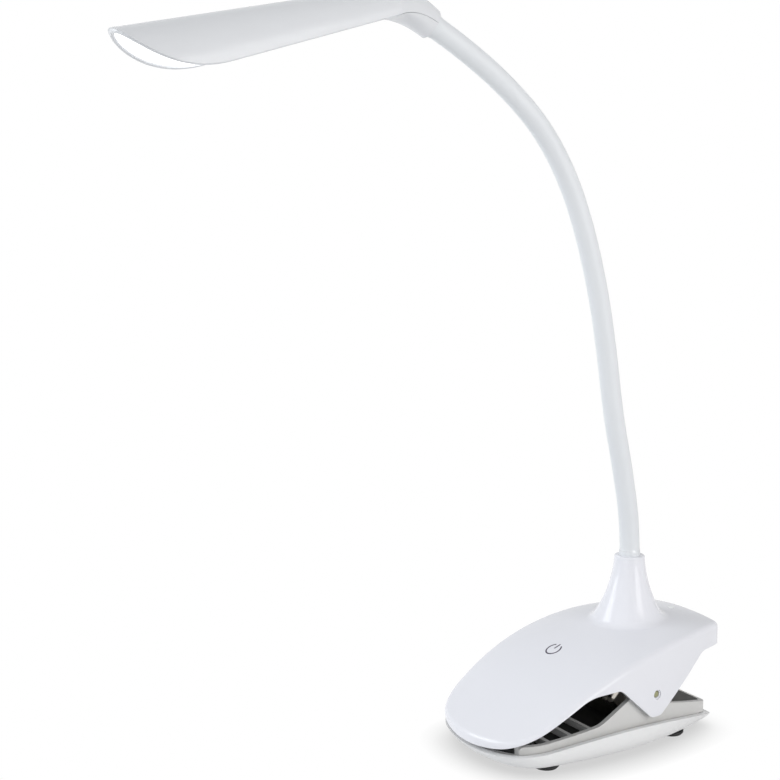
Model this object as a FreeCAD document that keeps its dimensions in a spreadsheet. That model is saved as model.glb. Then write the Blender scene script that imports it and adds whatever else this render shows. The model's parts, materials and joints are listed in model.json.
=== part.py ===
import FreeCAD, Part
import Sketcher
import math
import os
from FreeCAD import Matrix, Placement, Rotation, Vector

# Rechargeable clip lamp: an LED head on a flexible neck, carried by a sprung clip that can also
# stand on four rubber feet. Millimetres and degrees. +Z is up, the clip's nose points along -Y and
# X runs across the lamp. The origin is the centre of the four feet, on the table.

doc = FreeCAD.newDocument("clip_lamp")
sheet = doc.addObject("Spreadsheet::Sheet", "sizes")

SIZES = [
    # Clip outline seen from above, shared by both jaws: three arcs each side and a straight tail
    ("nose_y", -60.0, "front of the upper jaw"),
    ("nose_radius", 58.0, "plan arc across the nose"),
    ("shoulder_radius", 22.0, "plan arc beside the nose"),
    ("half_width", 35.9, "half of the greatest width"),
    ("widest_y", -10.6, "where the clip is widest"),
    ("side_radius", 177.0, "plan arc along the side"),
    ("tail_y", 59.2, "rear end of the upper jaw"),
    ("tail_corner", 3.0, "rounding of the tail corners in plan"),
    # Upper jaw shell
    ("shell_wall", 2.2, "wall of the upper shell"),
    ("crest_y", 33.0, "highest place of the shell's back"),
    ("crest_z", 49.6, "height of the shell's back there"),
    ("crest_radius", 127.0, "long curve of the back in front of that"),
    ("rear_radius", 210.0, "long curve of the back behind it"),
    ("slope_y", -39.5, "where the back runs out into a straight slope"),
    ("crown_radius", 150.0, "curve of the back across its width"),
    ("rear_past", 2.2, "rear curve of the back drawn past the tail"),
    ("crease_round", 2.6, "rounding between back and sides"),
    ("nose_edge_z", 8.9, "lower edge of the shell at its nose"),
    ("jaw_slope", 0.58, "rise of the shell's jaw edge per mm"),
    ("arch_front_y", -22.5, "where the jaw edge turns level"),
    ("arch_y", -7.5, "rear end of the jaw arch"),
    ("arch_z", 31.3, "height of the jaw arch"),
    ("arch_front_round", 20.0, "rounding where the jaw edge turns level"),
    ("arch_round", 5.0, "rounding at the rear of the jaw arch"),
    ("ear_round", 4.0, "rounding of the ear's end"),
    ("ear_front", 3.1, "ear, reach of its flat end in front of the pin"),
    ("ear_back", 2.4, "ear, reach of its flat end behind the pin"),
    ("ear_drop", 9.2, "ear, depth below the pin"),
    ("tail_under_round", 8.0, "rounding under the tail"),
    ("tail_under_y", 44.0, "where the tail's underside turns level"),
    ("tail_under_z", 37.4, "height of the tail's underside"),
    # Collar for the flexible neck
    ("collar_y", 25.5, "axis of the collar"),
    ("collar_z", 76.2, "top of the collar"),
    ("collar_radius", 6.5, "radius at the top of the collar"),
    ("collar_lean", 3.0, "slope of the collar's side at the top"),
    ("collar_curve", 55.0, "hollow curve of the collar seen from the side"),
    ("collar_root", 4.0, "depth of the collar's foot below the crest"),
    ("flare_radius", 5.0, "rounding where the collar meets the back"),
    ("collar_edge", 0.5, "rounding of the collar's rim"),
    # Hinge and spring
    ("pin_y", 13.0, "hinge pin axis"),
    ("pin_z", 25.6, "hinge pin axis"),
    ("pin_radius", 1.5, "hinge pin"),
    ("pin_slack", 0.06, "running clearance of the pin in the ears"),
    ("pin_fit", 0.02, "clearance of the pin in the frame"),
    ("pin_recess", 0.8, "depth of the pin's end below the ear's face"),
    ("recess_gap", 0.6, "recess around the pin's end"),
    ("pin_chamfer", 0.4, "chamfer at the pin's ends"),
    ("wire_radius", 0.7, "spring wire"),
    ("coil_radius", 3.7, "spring coil, to the middle of the wire"),
    ("coil_turns", 4, "whole turns in each coil"),
    ("coil_pitch", 2.05, "step of the coil per turn"),
    ("coil_start", 3.6, "inner end of each coil from the middle"),
    ("spring_reach", 20.5, "reach of the spring's arms behind the pin"),
    # Lower jaw
    ("pan_lip", 0.8, "pan outline outside the shell outline"),
    ("pan_tail_y", 58.9, "rear end of the pan"),
    ("pan_wall", 1.8, "wall of the pan"),
    ("pan_floor", 1.6, "floor of the pan"),
    ("pan_bilge", 8.5, "inset of the pan's flat bottom from its rim"),
    ("pan_knee", 2.2, "inset of the pan's side at the knee"),
    ("pan_knee_z", 6.2, "height of the knee"),
    ("rim_y", -4.0, "highest place of the pan's rim"),
    ("rim_z", 13.8, "height of the rim there"),
    ("rim_radius", 225.0, "arch of the rim seen from the side"),
    ("dish_over", 3.0, "height by which the pan's sides are drawn past its rim"),
    ("deck_sink", 1.0, "frame deck below the rim"),
    ("deck_thickness", 1.8, "frame deck"),
    ("frame_wall", 2.0, "side walls of the frame"),
    ("frame_gap", 0.9, "frame wall inside the shell's wall"),
    ("frame_tail_y", 52.6, "rear end of the frame"),
    ("frame_front_y", -50.0, "front end of the frame's walls"),
    ("frame_front_z", 12.0, "top of the frame's walls there"),
    ("frame_step_y", -15.5, "where the frame's walls start to rise"),
    ("frame_step_z", 16.8, "top of the frame's walls there"),
    ("frame_front_round", 2.0, "rounding of the walls' front corners"),
    ("frame_step_round", 14.0, "curve where the walls start to rise"),
    ("frame_round", 3.0, "rounding of the hinge hump and its foot"),
    ("hump_height", 4.8, "hinge hump above the pin"),
    ("hump_half", 4.3, "half length of the hinge hump's top"),
    ("frame_back_y", 24.0, "foot of the hinge hump behind the pin"),
    ("frame_back_z", 18.6, "top of the frame's walls there"),
    ("frame_tail_z", 10.3, "top of the frame's walls at the tail"),
    ("boss_radius", 4.6, "bearing boss around the pin"),
    ("boss_length", 5.0, "bearing boss along the pin"),
    ("rib_thickness", 1.5, "ribs across and along the frame"),
    ("rib_height", 3.0, "ribs above the deck"),
    ("rib_spacing", 10.0, "step between the cross ribs"),
    ("rib_count", 3, "cross ribs"),
    ("rib_front", 9.0, "front of the long rib behind the walls' front"),
    ("rib_rear", 2.0, "rear of the long rib behind the walls' step"),
    ("rib_first", 3.0, "first cross rib behind the front of the long rib"),
    ("root_depth", 0.9, "depth by which a rib, post or boss is rooted in its wall"),
    ("post_radius", 3.2, "screw posts under the deck"),
    ("pan_screw_x", 10.0, "pan screws, half spacing across"),
    ("pan_screw_y", 32.0, "pan screws, half spacing along"),
    ("screw_radius", 1.25, "screw shank"),
    ("screw_head", 2.5, "screw head radius"),
    ("screw_head_height", 1.2, "screw head height"),
    ("screw_length", 5.0, "screw shank length"),
    ("screw_tip", 0.3, "room past a screw's end"),
    ("screw_fit", 0.05, "clearance of a shank in its hole"),
    ("ballast_width", 40.0, "ballast plate across"),
    ("ballast_length", 50.0, "ballast plate along"),
    ("ballast_height", 4.5, "ballast plate thickness"),
    ("ballast_corner", 3.0, "ballast plate corner radius"),
    ("front_foot_x", 21.5, "front feet, half spacing across"),
    ("rear_foot_x", 18.8, "rear feet, half spacing across"),
    ("foot_y", 34.5, "feet, half spacing along"),
    ("foot_radius", 5.6, "foot"),
    ("foot_height", 1.8, "foot"),
    ("foot_draft", 0.8, "foot, smaller at the floor by this much all round"),
    ("pad_front_y", -57.0, "front of the grip pads"),
    ("pad_rear_y", -44.0, "rear of the grip pads"),
    ("pad_inset", 5.6, "grip pads inside the clip outline"),
    ("pad_thickness", 1.6, "lower grip pad"),
    ("seat_gap", 0.3, "gap between two pieces that close on each other"),
    # Inside the upper jaw
    ("cover_fit", 0.2, "gap around the cover"),
    ("cover_thickness", 1.4, "cover plate"),
    ("cover_front_y", -24.0, "front edge of the cover"),
    ("cover_front_z", 30.8, "underside of the cover there"),
    ("cover_mid_z", 33.9, "underside of the cover at the middle"),
    ("cover_tail_z", 38.0, "underside of the cover at the tail"),
    ("battery_width", 40.0, "battery across"),
    ("battery_length", 23.0, "battery along"),
    ("battery_height", 4.5, "battery thickness"),
    ("battery_y", 5.5, "middle of the battery"),
    ("battery_tilt", 4.8, "battery slope"),
    ("battery_gap", 0.1, "glue under the battery"),
    ("board_width", 24.0, "control board across"),
    ("board_length", 17.0, "control board along"),
    ("board_height", 1.2, "control board thickness"),
    ("board_gap", 0.5, "control board to the tail wall"),
    ("board_z", 40.2, "underside of the control board"),
    ("board_post", 1.5, "radius of the posts under the control board"),
    ("board_post_inset", 2.0, "those posts in from the board's edges"),
    ("socket_width", 7.5, "charging socket across"),
    ("socket_height", 2.6, "charging socket height"),
    ("socket_length", 5.4, "charging socket along"),
    ("socket_fit", 0.3, "gap around the charging socket"),
    ("socket_wall", 0.4, "wall of the charging socket"),
    ("socket_recess", 0.5, "charging socket behind the tail's face"),
    ("touch_y", -14.5, "touch mark"),
    ("touch_radius", 6.0, "touch plate"),
    ("touch_thickness", 0.8, "touch plate"),
    ("touch_gap", 0.35, "glue over the touch plate, whose seat is curved"),
    ("pad_gap", 0.05, "glue over the upper grip pad"),
    ("pipe_y", 50.2, "charge light"),
    ("pipe_radius", 1.5, "charge light lens"),
    ("pipe_fit", 0.05, "gap around the lens"),
    ("pipe_proud", 0.2, "lens above the back"),
    ("pipe_flange", 0.8, "flange around the lens under the back"),
    ("cover_screw_front_x", 24.0, "front cover screws, half spacing"),
    ("cover_screw_front_y", -8.0, "front cover screws"),
    ("cover_screw_rear_x", 16.8, "rear cover screws, half spacing"),
    ("cover_screw_rear_y", 46.0, "rear cover screws"),
    ("lid_post", 3.0, "radius of the screw posts in the lid"),
    # Flexible neck
    ("neck_radius", 4.5, "flexible neck"),
    ("neck_bore", 1.8, "wire channel in the neck"),
    ("neck_fit", 0.1, "gap around the neck's end fittings"),
    ("neck_cup", 0.15, "gap between ball and cup of two lengths"),
    ("neck_proud", 1.5, "first and last ball outside their sockets"),
    ("neck_lean", 1.0, "lean of the neck at the collar"),
    ("link_length", 25.2, "one length of the neck"),
    ("nut_width", 13.0, "neck nut across flats"),
    ("nut_height", 4.0, "neck nut"),
    ("nut_top_z", 45.3, "top of the neck nut"),
    ("nut_boss", 9.5, "radius of the boss that the nut pulls against"),
    ("ferrule_end", 5.5, "neck fitting below the top of the nut"),
    # Lamp head, along its own axis from the rear of the opening to the tip
    ("head_tilt", 17.0, "slope of the opening, tip down"),
    ("head_roll", -2.5, "turn of the head about its own length"),
    ("hood_rear", -14.0, "rear end of the hood"),
    ("hood_front", 99.8, "front end of the hood before the scoop is cut"),
    ("hood_half_rear", 10.5, "half width of the hood at the rear"),
    ("hood_half_front", 14.7, "half width of the hood at the front"),
    ("hood_height_rear", 10.8, "height of the hood at the rear"),
    ("hood_height_front", 20.5, "height of the hood at the front"),
    ("hood_wall", 1.5, "wall of the hood"),
    ("scoop_start", 58.2, "where the opening turns up to the tip"),
    ("scoop_bend", 80.5, "where the opening is pulled towards before it rises"),
    ("scoop_end", 92.7, "tip of the hood"),
    ("elbow_rise", 6.9, "height of the opening above the neck socket"),
    ("socket_radius", 5.75, "outside of the neck socket"),
    ("elbow_swell", 1.7, "how late the elbow widens into the hood"),
    ("elbow_gap", 0.15, "joint line between the elbow halves"),
    ("elbow_lip", 0.6, "thickness of the elbow's lower half at the hood"),
    ("channel_rise", 2.6, "wire channel above the elbow's middle line"),
    ("head_ferrule_length", 6.5, "end fitting in the head"),
    ("diffuser_sink", 0.7, "diffuser inside the hood's edge"),
    ("diffuser_thickness", 1.8, "diffuser"),
    ("diffuser_fit", 0.15, "gap around the diffuser"),
    ("strip_width", 10.0, "LED board across"),
    ("strip_start", 8.0, "LED board, rear end"),
    ("strip_end", 67.0, "LED board, front end"),
    ("strip_level", 7.0, "LED board above the opening"),
    ("strip_thickness", 1.2, "LED board"),
    ("led_width", 2.8, "one LED across"),
    ("led_length", 3.5, "one LED along"),
    ("led_height", 0.7, "one LED thickness"),
    ("led_spacing", 6.0, "step between LEDs along the board"),
    ("led_half_row", 2.7, "half spacing of the two rows"),
    ("led_count", 7, "LEDs in each row"),
    ("strip_screw_rear", 14.0, "rear board screw"),
    ("strip_screw_front", 62.0, "front board screw"),
    ("strip_screw_radius", 0.9, "board screw shank"),
    ("strip_screw_head", 1.7, "board screw head radius"),
    ("strip_screw_cap", 0.9, "board screw head height"),
    ("strip_screw_length", 2.7, "board screw shank length"),
    ("strip_post", 2.4, "radius of the posts above the LED board"),
]

# Directions, and reaches of the cutting shapes that go past the whole clip.
ACROSS = Vector(1, 0, 0)
UP = Vector(0, 0, 1)
WIDE = 48.0
LOW = -20.0
HIGH = 95.0

# How far each length of the neck turns forward, from the collar to the head.
LINK_TURNS = [10.0, 2.5, -5.0, 2.7, 4.8, 6.0, 12.0, 15.0, 8.5, 5.5]

for row, (alias, number, note) in enumerate(SIZES, 1):
    sheet.set("A%d" % row, note)
    sheet.set("B%d" % row, str(number))
    sheet.setAlias("B%d" % row, alias)
doc.recompute()


def val(alias):
    """One driving size, read from the sheet."""
    return float(sheet.get(alias))


def bound(expression):
    """The value of an expression over the sheet."""
    return float(sheet.evalExpression(expression))


# Shapes that several pieces share

def arc_mid(start, corner, end):
    """Middle of the arc that leaves start towards corner and arrives at end from corner."""
    middle = (start + end) * 0.5
    weight = (middle - start).Length / (corner - start).Length
    return (middle + corner * weight) * (1.0 / (1.0 + weight))


def rounded(points):
    """Closed side outline in the YZ plane from (y, z, rounding) corners."""
    count = len(points)
    edges = []
    ends = []
    for index, (y, z, radius) in enumerate(points):
        corner = Vector(0, y, z)
        before = Vector(0, points[index - 1][0], points[index - 1][1])
        after = Vector(0, points[(index + 1) % count][0], points[(index + 1) % count][1])
        back = (before - corner).normalize()
        onward = (after - corner).normalize()
        if radius > 0:
            reach = radius / math.tan(back.getAngle(onward) / 2)
            first = corner + back * reach
            last = corner + onward * reach
            edges.append(Part.Arc(first, arc_mid(first, corner, last), last).toShape())
            ends.append((first, last))
        else:
            ends.append((corner, corner))
    for index in range(count):
        edges.append(Part.makeLine(ends[index][1], ends[(index + 1) % count][0]))
    return Part.Wire(Part.__sortEdges__(edges))


def across(wire, half):
    """Solid of a side outline, carried half that far to each side of the middle."""
    face = Part.Face(wire)
    face.translate(Vector(-half, 0, 0))
    return face.extrude(Vector(2 * half, 0, 0))


nose_middle = Vector(0, val("nose_y") + val("nose_radius"), 0)
side_middle = Vector(val("half_width") - val("side_radius"), val("widest_y"), 0)
apart = side_middle - nose_middle
near = val("nose_radius") - val("shoulder_radius")
far = val("side_radius") - val("shoulder_radius")
along = (near ** 2 - far ** 2 + apart.Length ** 2) / (2 * apart.Length)
aside = math.sqrt(near ** 2 - along ** 2)
apart.normalize()
shoulder_middle = nose_middle + apart * along + Vector(-apart.y, apart.x, 0) * aside
nose_way = (shoulder_middle - nose_middle).normalize()
side_way = (shoulder_middle - side_middle).normalize()


def half_at(y, inset):
    """Half width of the clip's side arc at y, inset from the shell's outline."""
    return side_middle.x + math.sqrt((val("side_radius") - inset) ** 2 - (y - side_middle.y) ** 2)


def outline(inset, tail, z):
    """The clip's plan outline, inset all round, with its tail at the given y."""
    nose = val("nose_radius") - inset
    shoulder = val("shoulder_radius") - inset
    side = val("side_radius") - inset
    tip = nose_middle - Vector(0, nose, 0)
    first = nose_middle + nose_way * nose
    second = side_middle + side_way * side
    blend = shoulder_middle + (nose_way + side_way).normalize() * shoulder
    turn_y = tail - val("tail_corner")
    turn = Vector(half_at(turn_y, inset), turn_y, 0)
    belly_y = (second.y + turn_y) / 2
    belly = Vector(half_at(belly_y, inset), belly_y, 0)
    corner = Vector(half_at(tail, inset), tail, 0)
    end = corner - Vector((turn - corner).Length, 0, 0)
    arcs = [(first, blend, second), (second, belly, turn), (turn, arc_mid(turn, corner, end), end)]

    def other(point):
        return Vector(-point.x, point.y, 0)

    edges = [Part.Arc(other(first), tip, first).toShape()]
    for start, middle, stop in arcs:
        edges.append(Part.Arc(start, middle, stop).toShape())
    edges.append(Part.makeLine(end, other(end)))
    for start, middle, stop in reversed(arcs):
        edges.append(Part.Arc(other(stop), other(middle), other(start)).toShape())
    wire = Part.Wire(edges)
    wire.translate(Vector(0, 0, z))
    return wire


def column(inset, tail, low, high):
    """Upright solid on the plan outline between two heights."""
    return Part.Face(outline(inset, tail, low)).extrude(Vector(0, 0, high - low))


def back_block(inset):
    """Everything under the upper jaw's back, taken down by inset."""
    pivot = Vector(0, val("crest_y"), val("crest_z") - val("crest_radius"))
    crown = val("crown_radius") - inset
    hub = val("crest_z") - val("crown_radius")
    edge_z = hub + math.sqrt(crown ** 2 - WIDE ** 2)
    core_z = pivot.z + 40.0
    corners = [(-WIDE, edge_z), (-WIDE, core_z), (WIDE, core_z), (WIDE, edge_z)]
    points = [Vector(x, pivot.y, z) for x, z in corners]
    edges = [Part.makeLine(points[0], points[1])]
    edges.append(Part.makeLine(points[1], points[2]))
    edges.append(Part.makeLine(points[2], points[3]))
    top = Vector(0, pivot.y, hub + crown)
    edges.append(Part.Arc(points[3], top, points[0]).toShape())
    face = Part.Face(Part.Wire(edges))
    rear_pivot = Vector(0, val("crest_y"), val("crest_z") - val("rear_radius"))
    rear_reach = val("tail_y") + val("rear_past") - val("crest_y")
    rear_turn = math.degrees(math.asin(rear_reach / val("rear_radius")))
    behind = face.copy().revolve(rear_pivot, ACROSS, -rear_turn)
    front = math.degrees(math.asin((val("crest_y") - val("slope_y")) / val("crest_radius")))
    turned = face.revolve(pivot, ACROSS, front)
    face.rotate(pivot, ACROSS, front)
    slope = math.radians(front)
    ahead = face.extrude(Vector(0, -math.cos(slope), -math.sin(slope)) * WIDE)
    return turned.fuse([ahead, behind]).removeSplitter()


def back_z(x, y, inset):
    """Height of the upper jaw's back, taken down by inset, over its curved part."""
    drop = val("crown_radius") - math.sqrt(val("crown_radius") ** 2 - x ** 2)
    radius = val("crest_radius") if y < val("crest_y") else val("rear_radius")
    level = math.sqrt((radius - inset) ** 2 - (y - val("crest_y")) ** 2)
    return val("crest_z") - radius + level - drop


def rim_height(y, sink):
    """Height of the pan's arched rim at y, less sink."""
    fall = val("rim_radius") - math.sqrt(val("rim_radius") ** 2 - (y - val("rim_y")) ** 2)
    return val("rim_z") - fall - sink


def under_rim(upper, lower):
    """Slab that follows the rim's arch, between two depths below it."""
    past = 8.0
    front = val("nose_y") - past
    rear = val("pan_tail_y") + past
    rows = []
    for sink in (upper, lower):
        places = [Vector(0, y, rim_height(y, sink)) for y in (front, val("rim_y"), rear)]
        rows.append((places[0], Part.Arc(*places).toShape(), places[2]))
    edges = [rows[0][1], Part.makeLine(rows[0][2], rows[1][2])]
    edges += [rows[1][1], Part.makeLine(rows[1][0], rows[0][0])]
    return across(Part.Wire(Part.__sortEdges__(edges)), WIDE)


def rod(start, way, length, radius):
    """Cylinder from a point along a direction."""
    return Part.makeCylinder(radius, length, start, way)


def block(x, y, z):
    """Box between (low, high) limits on each axis."""
    size = [limits[1] - limits[0] for limits in (x, y, z)]
    return Part.makeBox(size[0], size[1], size[2], Vector(x[0], y[0], z[0]))


def moulded(label, shape):
    """One moulded piece, kept as a shape that is worked out from the sheet."""
    piece = doc.addObject("Part::Feature", label)
    piece.Label = label
    piece.Shape = shape
    pieces.append(piece)
    return piece


def bound_sketch(body, plane, points):
    """Closed sketch on one of the body's planes; each corner is a pair of bound expressions."""
    sketch = body.newObject("Sketcher::SketchObject", body.Name + "_sketch")
    support = [item for item in body.Origin.OriginFeatures if item.Role == plane][0]
    sketch.AttachmentSupport = [(support, "")]
    sketch.MapMode = "FlatFace"
    places = [Vector(bound(first), bound(second), 0) for first, second in points]
    count = len(points)
    for index in range(count):
        sketch.addGeometry(Part.LineSegment(places[index], places[(index + 1) % count]), False)
    for index in range(count):
        sketch.addConstraint(Sketcher.Constraint("Coincident", index, 2, (index + 1) % count, 1))
    for index, pair in enumerate(points):
        for kind, number, text in zip(("DistanceX", "DistanceY"), places[index], pair):
            rule = Sketcher.Constraint(kind, -1, 1, index, 1, number)
            sketch.setExpression("Constraints[%d]" % sketch.addConstraint(rule), text)
    return sketch


def turned_body(label, points):
    """Piece turned about its own upright axis, from a profile of (radius, height) expressions."""
    body = doc.addObject("PartDesign::Body", label)
    body.Label = label
    sketch = bound_sketch(body, "XZ_Plane", points)
    turn = body.newObject("PartDesign::Revolution", label + "_turn")
    turn.Profile = sketch
    turn.ReferenceAxis = (sketch, ["V_Axis"])
    turn.Angle = 360
    return body


def padded_body(label, points, height):
    """Piece padded upwards from a plan of (x, y) expressions."""
    body = doc.addObject("PartDesign::Body", label)
    body.Label = label
    sketch = bound_sketch(body, "XY_Plane", points)
    pad = body.newObject("PartDesign::Pad", label + "_pad")
    pad.Profile = sketch
    pad.setExpression("Length", height)
    doc.recompute()
    return body


def rectangle(width, length):
    """Corners of a centred rectangle from two expressions."""
    signs = [("-", "-"), ("", "-"), ("", ""), ("-", "")]
    return [("%s(%s) / 2" % (sx, width), "%s(%s) / 2" % (sy, length)) for sx, sy in signs]


def place(body, x, y, z):
    """Bind a piece's position to the sheet."""
    body.setExpression("Placement.Base.x", x)
    body.setExpression("Placement.Base.y", y)
    body.setExpression("Placement.Base.z", z)


def together(label, items):
    """Equal fasteners kept as one piece."""
    group = doc.addObject("Part::Compound", label)
    group.Label = label
    group.Links = items
    pieces.append(group)
    return group


pieces = []
flat_z = val("foot_height")
floor_z = flat_z + val("pan_floor")

# Pan: a dished tray with an arched rim. Its sides are lofted through three outlines and its bottom
# is flat, with holes for the screws that hold the frame.


def dish(skin):
    """The pan's outer form, or with a skin its inside, whose knee and bottom lie nearer on the slope."""
    levels = [(val("pan_bilge") + 0.8 * skin, flat_z + (val("pan_floor") if skin else 0.0))]
    levels.append((val("pan_knee") + skin, val("pan_knee_z") + 0.6 * skin))
    levels.append((skin, val("rim_z") + val("dish_over")))
    wires = [outline(inset - val("pan_lip"), val("pan_tail_y") - inset, z) for inset, z in levels]
    return Part.makeLoft(wires, True, False)


screw_spots = [(sx * val("pan_screw_x"), sy * val("pan_screw_y")) for sx in (-1, 1) for sy in (-1, 1)]
pilot = val("screw_radius") + val("screw_fit")
pan = dish(0.0).common(under_rim(0.0, WIDE)).cut(dish(val("pan_wall")))
for x, y in screw_spots:
    pan = pan.cut(rod(Vector(x, y, 0), UP, 2 * floor_z, pilot))
moulded("base_pan", pan)

# Frame: a deck that drops into the pan, side walls that rise to the hinge humps, bearing bosses for
# the pin, ribs, and posts that stand on the pan's floor.
wall_inset = val("shell_wall") + val("frame_gap")
frame_tail = val("frame_tail_y")
deck = under_rim(val("deck_sink"), val("deck_sink") + val("deck_thickness"))
deck = deck.common(dish(val("pan_wall") + val("seat_gap")))
walls = column(wall_inset, frame_tail, 0.0, HIGH)
walls = walls.cut(column(wall_inset + val("frame_wall"), frame_tail - val("frame_wall"), LOW, 2 * HIGH))
hump_z = val("pin_z") + val("hump_height")
profile = [
    (val("frame_front_y"), 0.0, 0),
    (val("frame_front_y"), val("frame_front_z"), val("frame_front_round")),
    (val("frame_step_y"), val("frame_step_z"), val("frame_step_round")),
    (val("pin_y") - val("hump_half"), hump_z, val("frame_round")),
    (val("pin_y") + val("hump_half"), hump_z, val("frame_round")),
    (val("frame_back_y"), val("frame_back_z"), val("frame_round")),
    (val("pan_tail_y"), val("frame_tail_z"), 0),
    (val("pan_tail_y"), 0.0, 0),
]
rooted = val("deck_sink") + val("root_depth")
walls = walls.common(across(rounded(profile), WIDE)).cut(under_rim(rooted, WIDE))
frame = deck.fuse(walls)
ear_face = half_at(val("pin_y"), wall_inset)
for hand in (-1, 1):
    start = Vector(hand * (ear_face - val("root_depth")), val("pin_y"), val("pin_z"))
    frame = frame.fuse(rod(start, ACROSS * -hand, val("boss_length"), val("boss_radius")))
rib_band = under_rim(val("deck_sink") - val("rib_height"), rooted)
rib_reach = (val("frame_front_y") + val("rib_front"), val("frame_step_y") + val("rib_rear"))
half_rib = val("rib_thickness") / 2
ribs = block((-half_rib, half_rib), rib_reach, (LOW, HIGH))
for step in range(int(val("rib_count"))):
    y = rib_reach[0] + val("rib_first") + step * val("rib_spacing")
    ribs = ribs.fuse(block((-WIDE, WIDE), (y - half_rib, y + half_rib), (LOW, HIGH)))
ribs = ribs.common(rib_band).common(column(wall_inset + val("root_depth"), frame_tail, LOW, HIGH))
frame = frame.fuse(ribs)
for x, y in screw_spots:
    height = rim_height(y, rooted) - floor_z
    frame = frame.fuse(rod(Vector(x, y, floor_z), UP, height, val("post_radius")))
for x, y in screw_spots:
    depth = val("screw_length") - val("pan_floor") + val("screw_tip")
    frame = frame.cut(rod(Vector(x, y, floor_z), UP, depth, pilot))
pin_line = Vector(-WIDE, val("pin_y"), val("pin_z"))
frame = frame.cut(rod(pin_line, ACROSS, 2 * WIDE, val("pin_radius") + val("pin_fit")))
pan_room = dish(0.0).common(under_rim(-val("seat_gap"), WIDE))
pan_room = pan_room.cut(dish(val("pan_wall") + val("seat_gap")))
frame = frame.cut(pan_room).removeSplitter()
moulded("jaw_frame", frame)

# Ballast: a steel plate with rounded corners, lying on the pan's floor.
ballast = padded_body("ballast_plate", rectangle("sizes.ballast_width", "sizes.ballast_length"),
                      "sizes.ballast_height")
plain = ballast.Tip
upright = []
for index, edge in enumerate(plain.Shape.Edges, 1):
    if abs(edge.tangentAt(edge.FirstParameter).z) > 0.9:
        upright.append("Edge%d" % index)
rounding = ballast.newObject("PartDesign::Fillet", "ballast_corners")
rounding.Base = (plain, upright)
rounding.setExpression("Radius", "sizes.ballast_corner")
ballast.Tip = rounding
place(ballast, "0", "0", "sizes.foot_height + sizes.pan_floor")
pieces.append(ballast)

# Four equal rubber feet under the pan.
foot_profile = [("0", "0"), ("sizes.foot_radius - sizes.foot_draft", "0"),
                ("sizes.foot_radius", "sizes.foot_height / 2"),
                ("sizes.foot_radius", "sizes.foot_height"), ("0", "sizes.foot_height")]
for end, sy in (("front", "-"), ("rear", "")):
    for hand, sx in (("left", ""), ("right", "-")):
        foot = turned_body("foot_%s_%s" % (end, hand), foot_profile)
        place(foot, sx + "sizes.%s_foot_x" % end, sy + "sizes.foot_y", "0")
        pieces.append(foot)

# Four equal screws from below, through the pan's floor into the frame's posts.
screw_profile = [("0", "-sizes.screw_head_height"), ("sizes.screw_head", "-sizes.screw_head_height"),
                 ("sizes.screw_head", "0"), ("sizes.screw_radius", "0"),
                 ("sizes.screw_radius", "sizes.screw_length"), ("0", "sizes.screw_length")]
screws = []
for hand, sx in (("a", "-"), ("b", "")):
    for end, sy in (("a", "-"), ("b", "")):
        screw = turned_body("pan_screw_%s%s" % (hand, end), screw_profile)
        place(screw, sx + "sizes.pan_screw_x", sy + "sizes.pan_screw_y", "sizes.foot_height")
        screws.append(screw)
together("pan_screws", screws)

# Lower grip pad: rubber, lying on the deck behind the nose.
pad_span = (val("pad_front_y"), val("pad_rear_y"))
pad_column = column(val("pad_inset"), val("tail_y"), 0.0, HIGH)
pad_column = pad_column.common(block((-WIDE, WIDE), pad_span, (0.0, HIGH)))
lower_pad = pad_column.common(under_rim(val("deck_sink") - val("pad_thickness"), val("deck_sink")))
moulded("lower_grip_pad", lower_pad)

# Hinge pin: a steel pin with chamfered ends, lying across both jaws.
pin_half = half_at(val("pin_y"), 0.0) - val("pin_recess")
sheet_row = len(SIZES) + 1
sheet.set("A%d" % sheet_row, "half length of the hinge pin, from the clip's width")
sheet.set("B%d" % sheet_row, repr(pin_half))
sheet.setAlias("B%d" % sheet_row, "pin_half")
doc.recompute()
pin = turned_body("hinge_pin", [
    ("0", "-sizes.pin_half"), ("sizes.pin_radius - sizes.pin_chamfer", "-sizes.pin_half"),
    ("sizes.pin_radius", "-sizes.pin_half + sizes.pin_chamfer"),
    ("sizes.pin_radius", "sizes.pin_half - sizes.pin_chamfer"),
    ("sizes.pin_radius - sizes.pin_chamfer", "sizes.pin_half"), ("0", "sizes.pin_half")])
pin.Placement = Placement(Vector(0, 0, 0), Rotation(Vector(0, 1, 0), 90))
place(pin, "0", "sizes.pin_y", "sizes.pin_z")
pieces.append(pin)

# Upper cover's underside, seen from the side.
cover_line = [
    (val("cover_front_y"), val("cover_front_z")),
    (0.0, val("cover_mid_z")),
    (val("tail_y"), val("cover_tail_z")),
]


def cover_under(y):
    """Height of the cover's underside."""
    for (y0, z0), (y1, z1) in zip(cover_line, cover_line[1:]):
        if y <= y1:
            return z0 + (z1 - z0) * (y - y0) / (y1 - y0)
    return cover_line[-1][1]


def cover_over(y):
    """Height of the cover's upper face."""
    return cover_under(y) + val("cover_thickness")


# Clip spring: one wire wound in two coils on the pin. Its middle loop bears up on the cover and its
# two outer arms bear down on the frame's deck. Quarter turns are pairs of tangent arcs.


def biarc(start, leave, stop, arrive):
    """Two tangent arcs between two points with given directions."""
    chord = stop - start
    total = leave + arrive
    square = 2 * (1 - leave.dot(arrive))
    linear = chord.dot(total)
    if square < 1e-9:
        reach = chord.dot(chord) / (2 * linear)
    else:
        reach = (-linear + math.sqrt(linear ** 2 + square * chord.dot(chord))) / square
    first = start + leave * reach
    second = stop - arrive * reach
    joint = (first + second) * 0.5
    edges = []
    for a, corner, b in ((start, first, joint), (joint, second, stop)):
        edges.append(Part.Arc(a, arc_mid(a, corner, b), b).toShape())
    return edges


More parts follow.
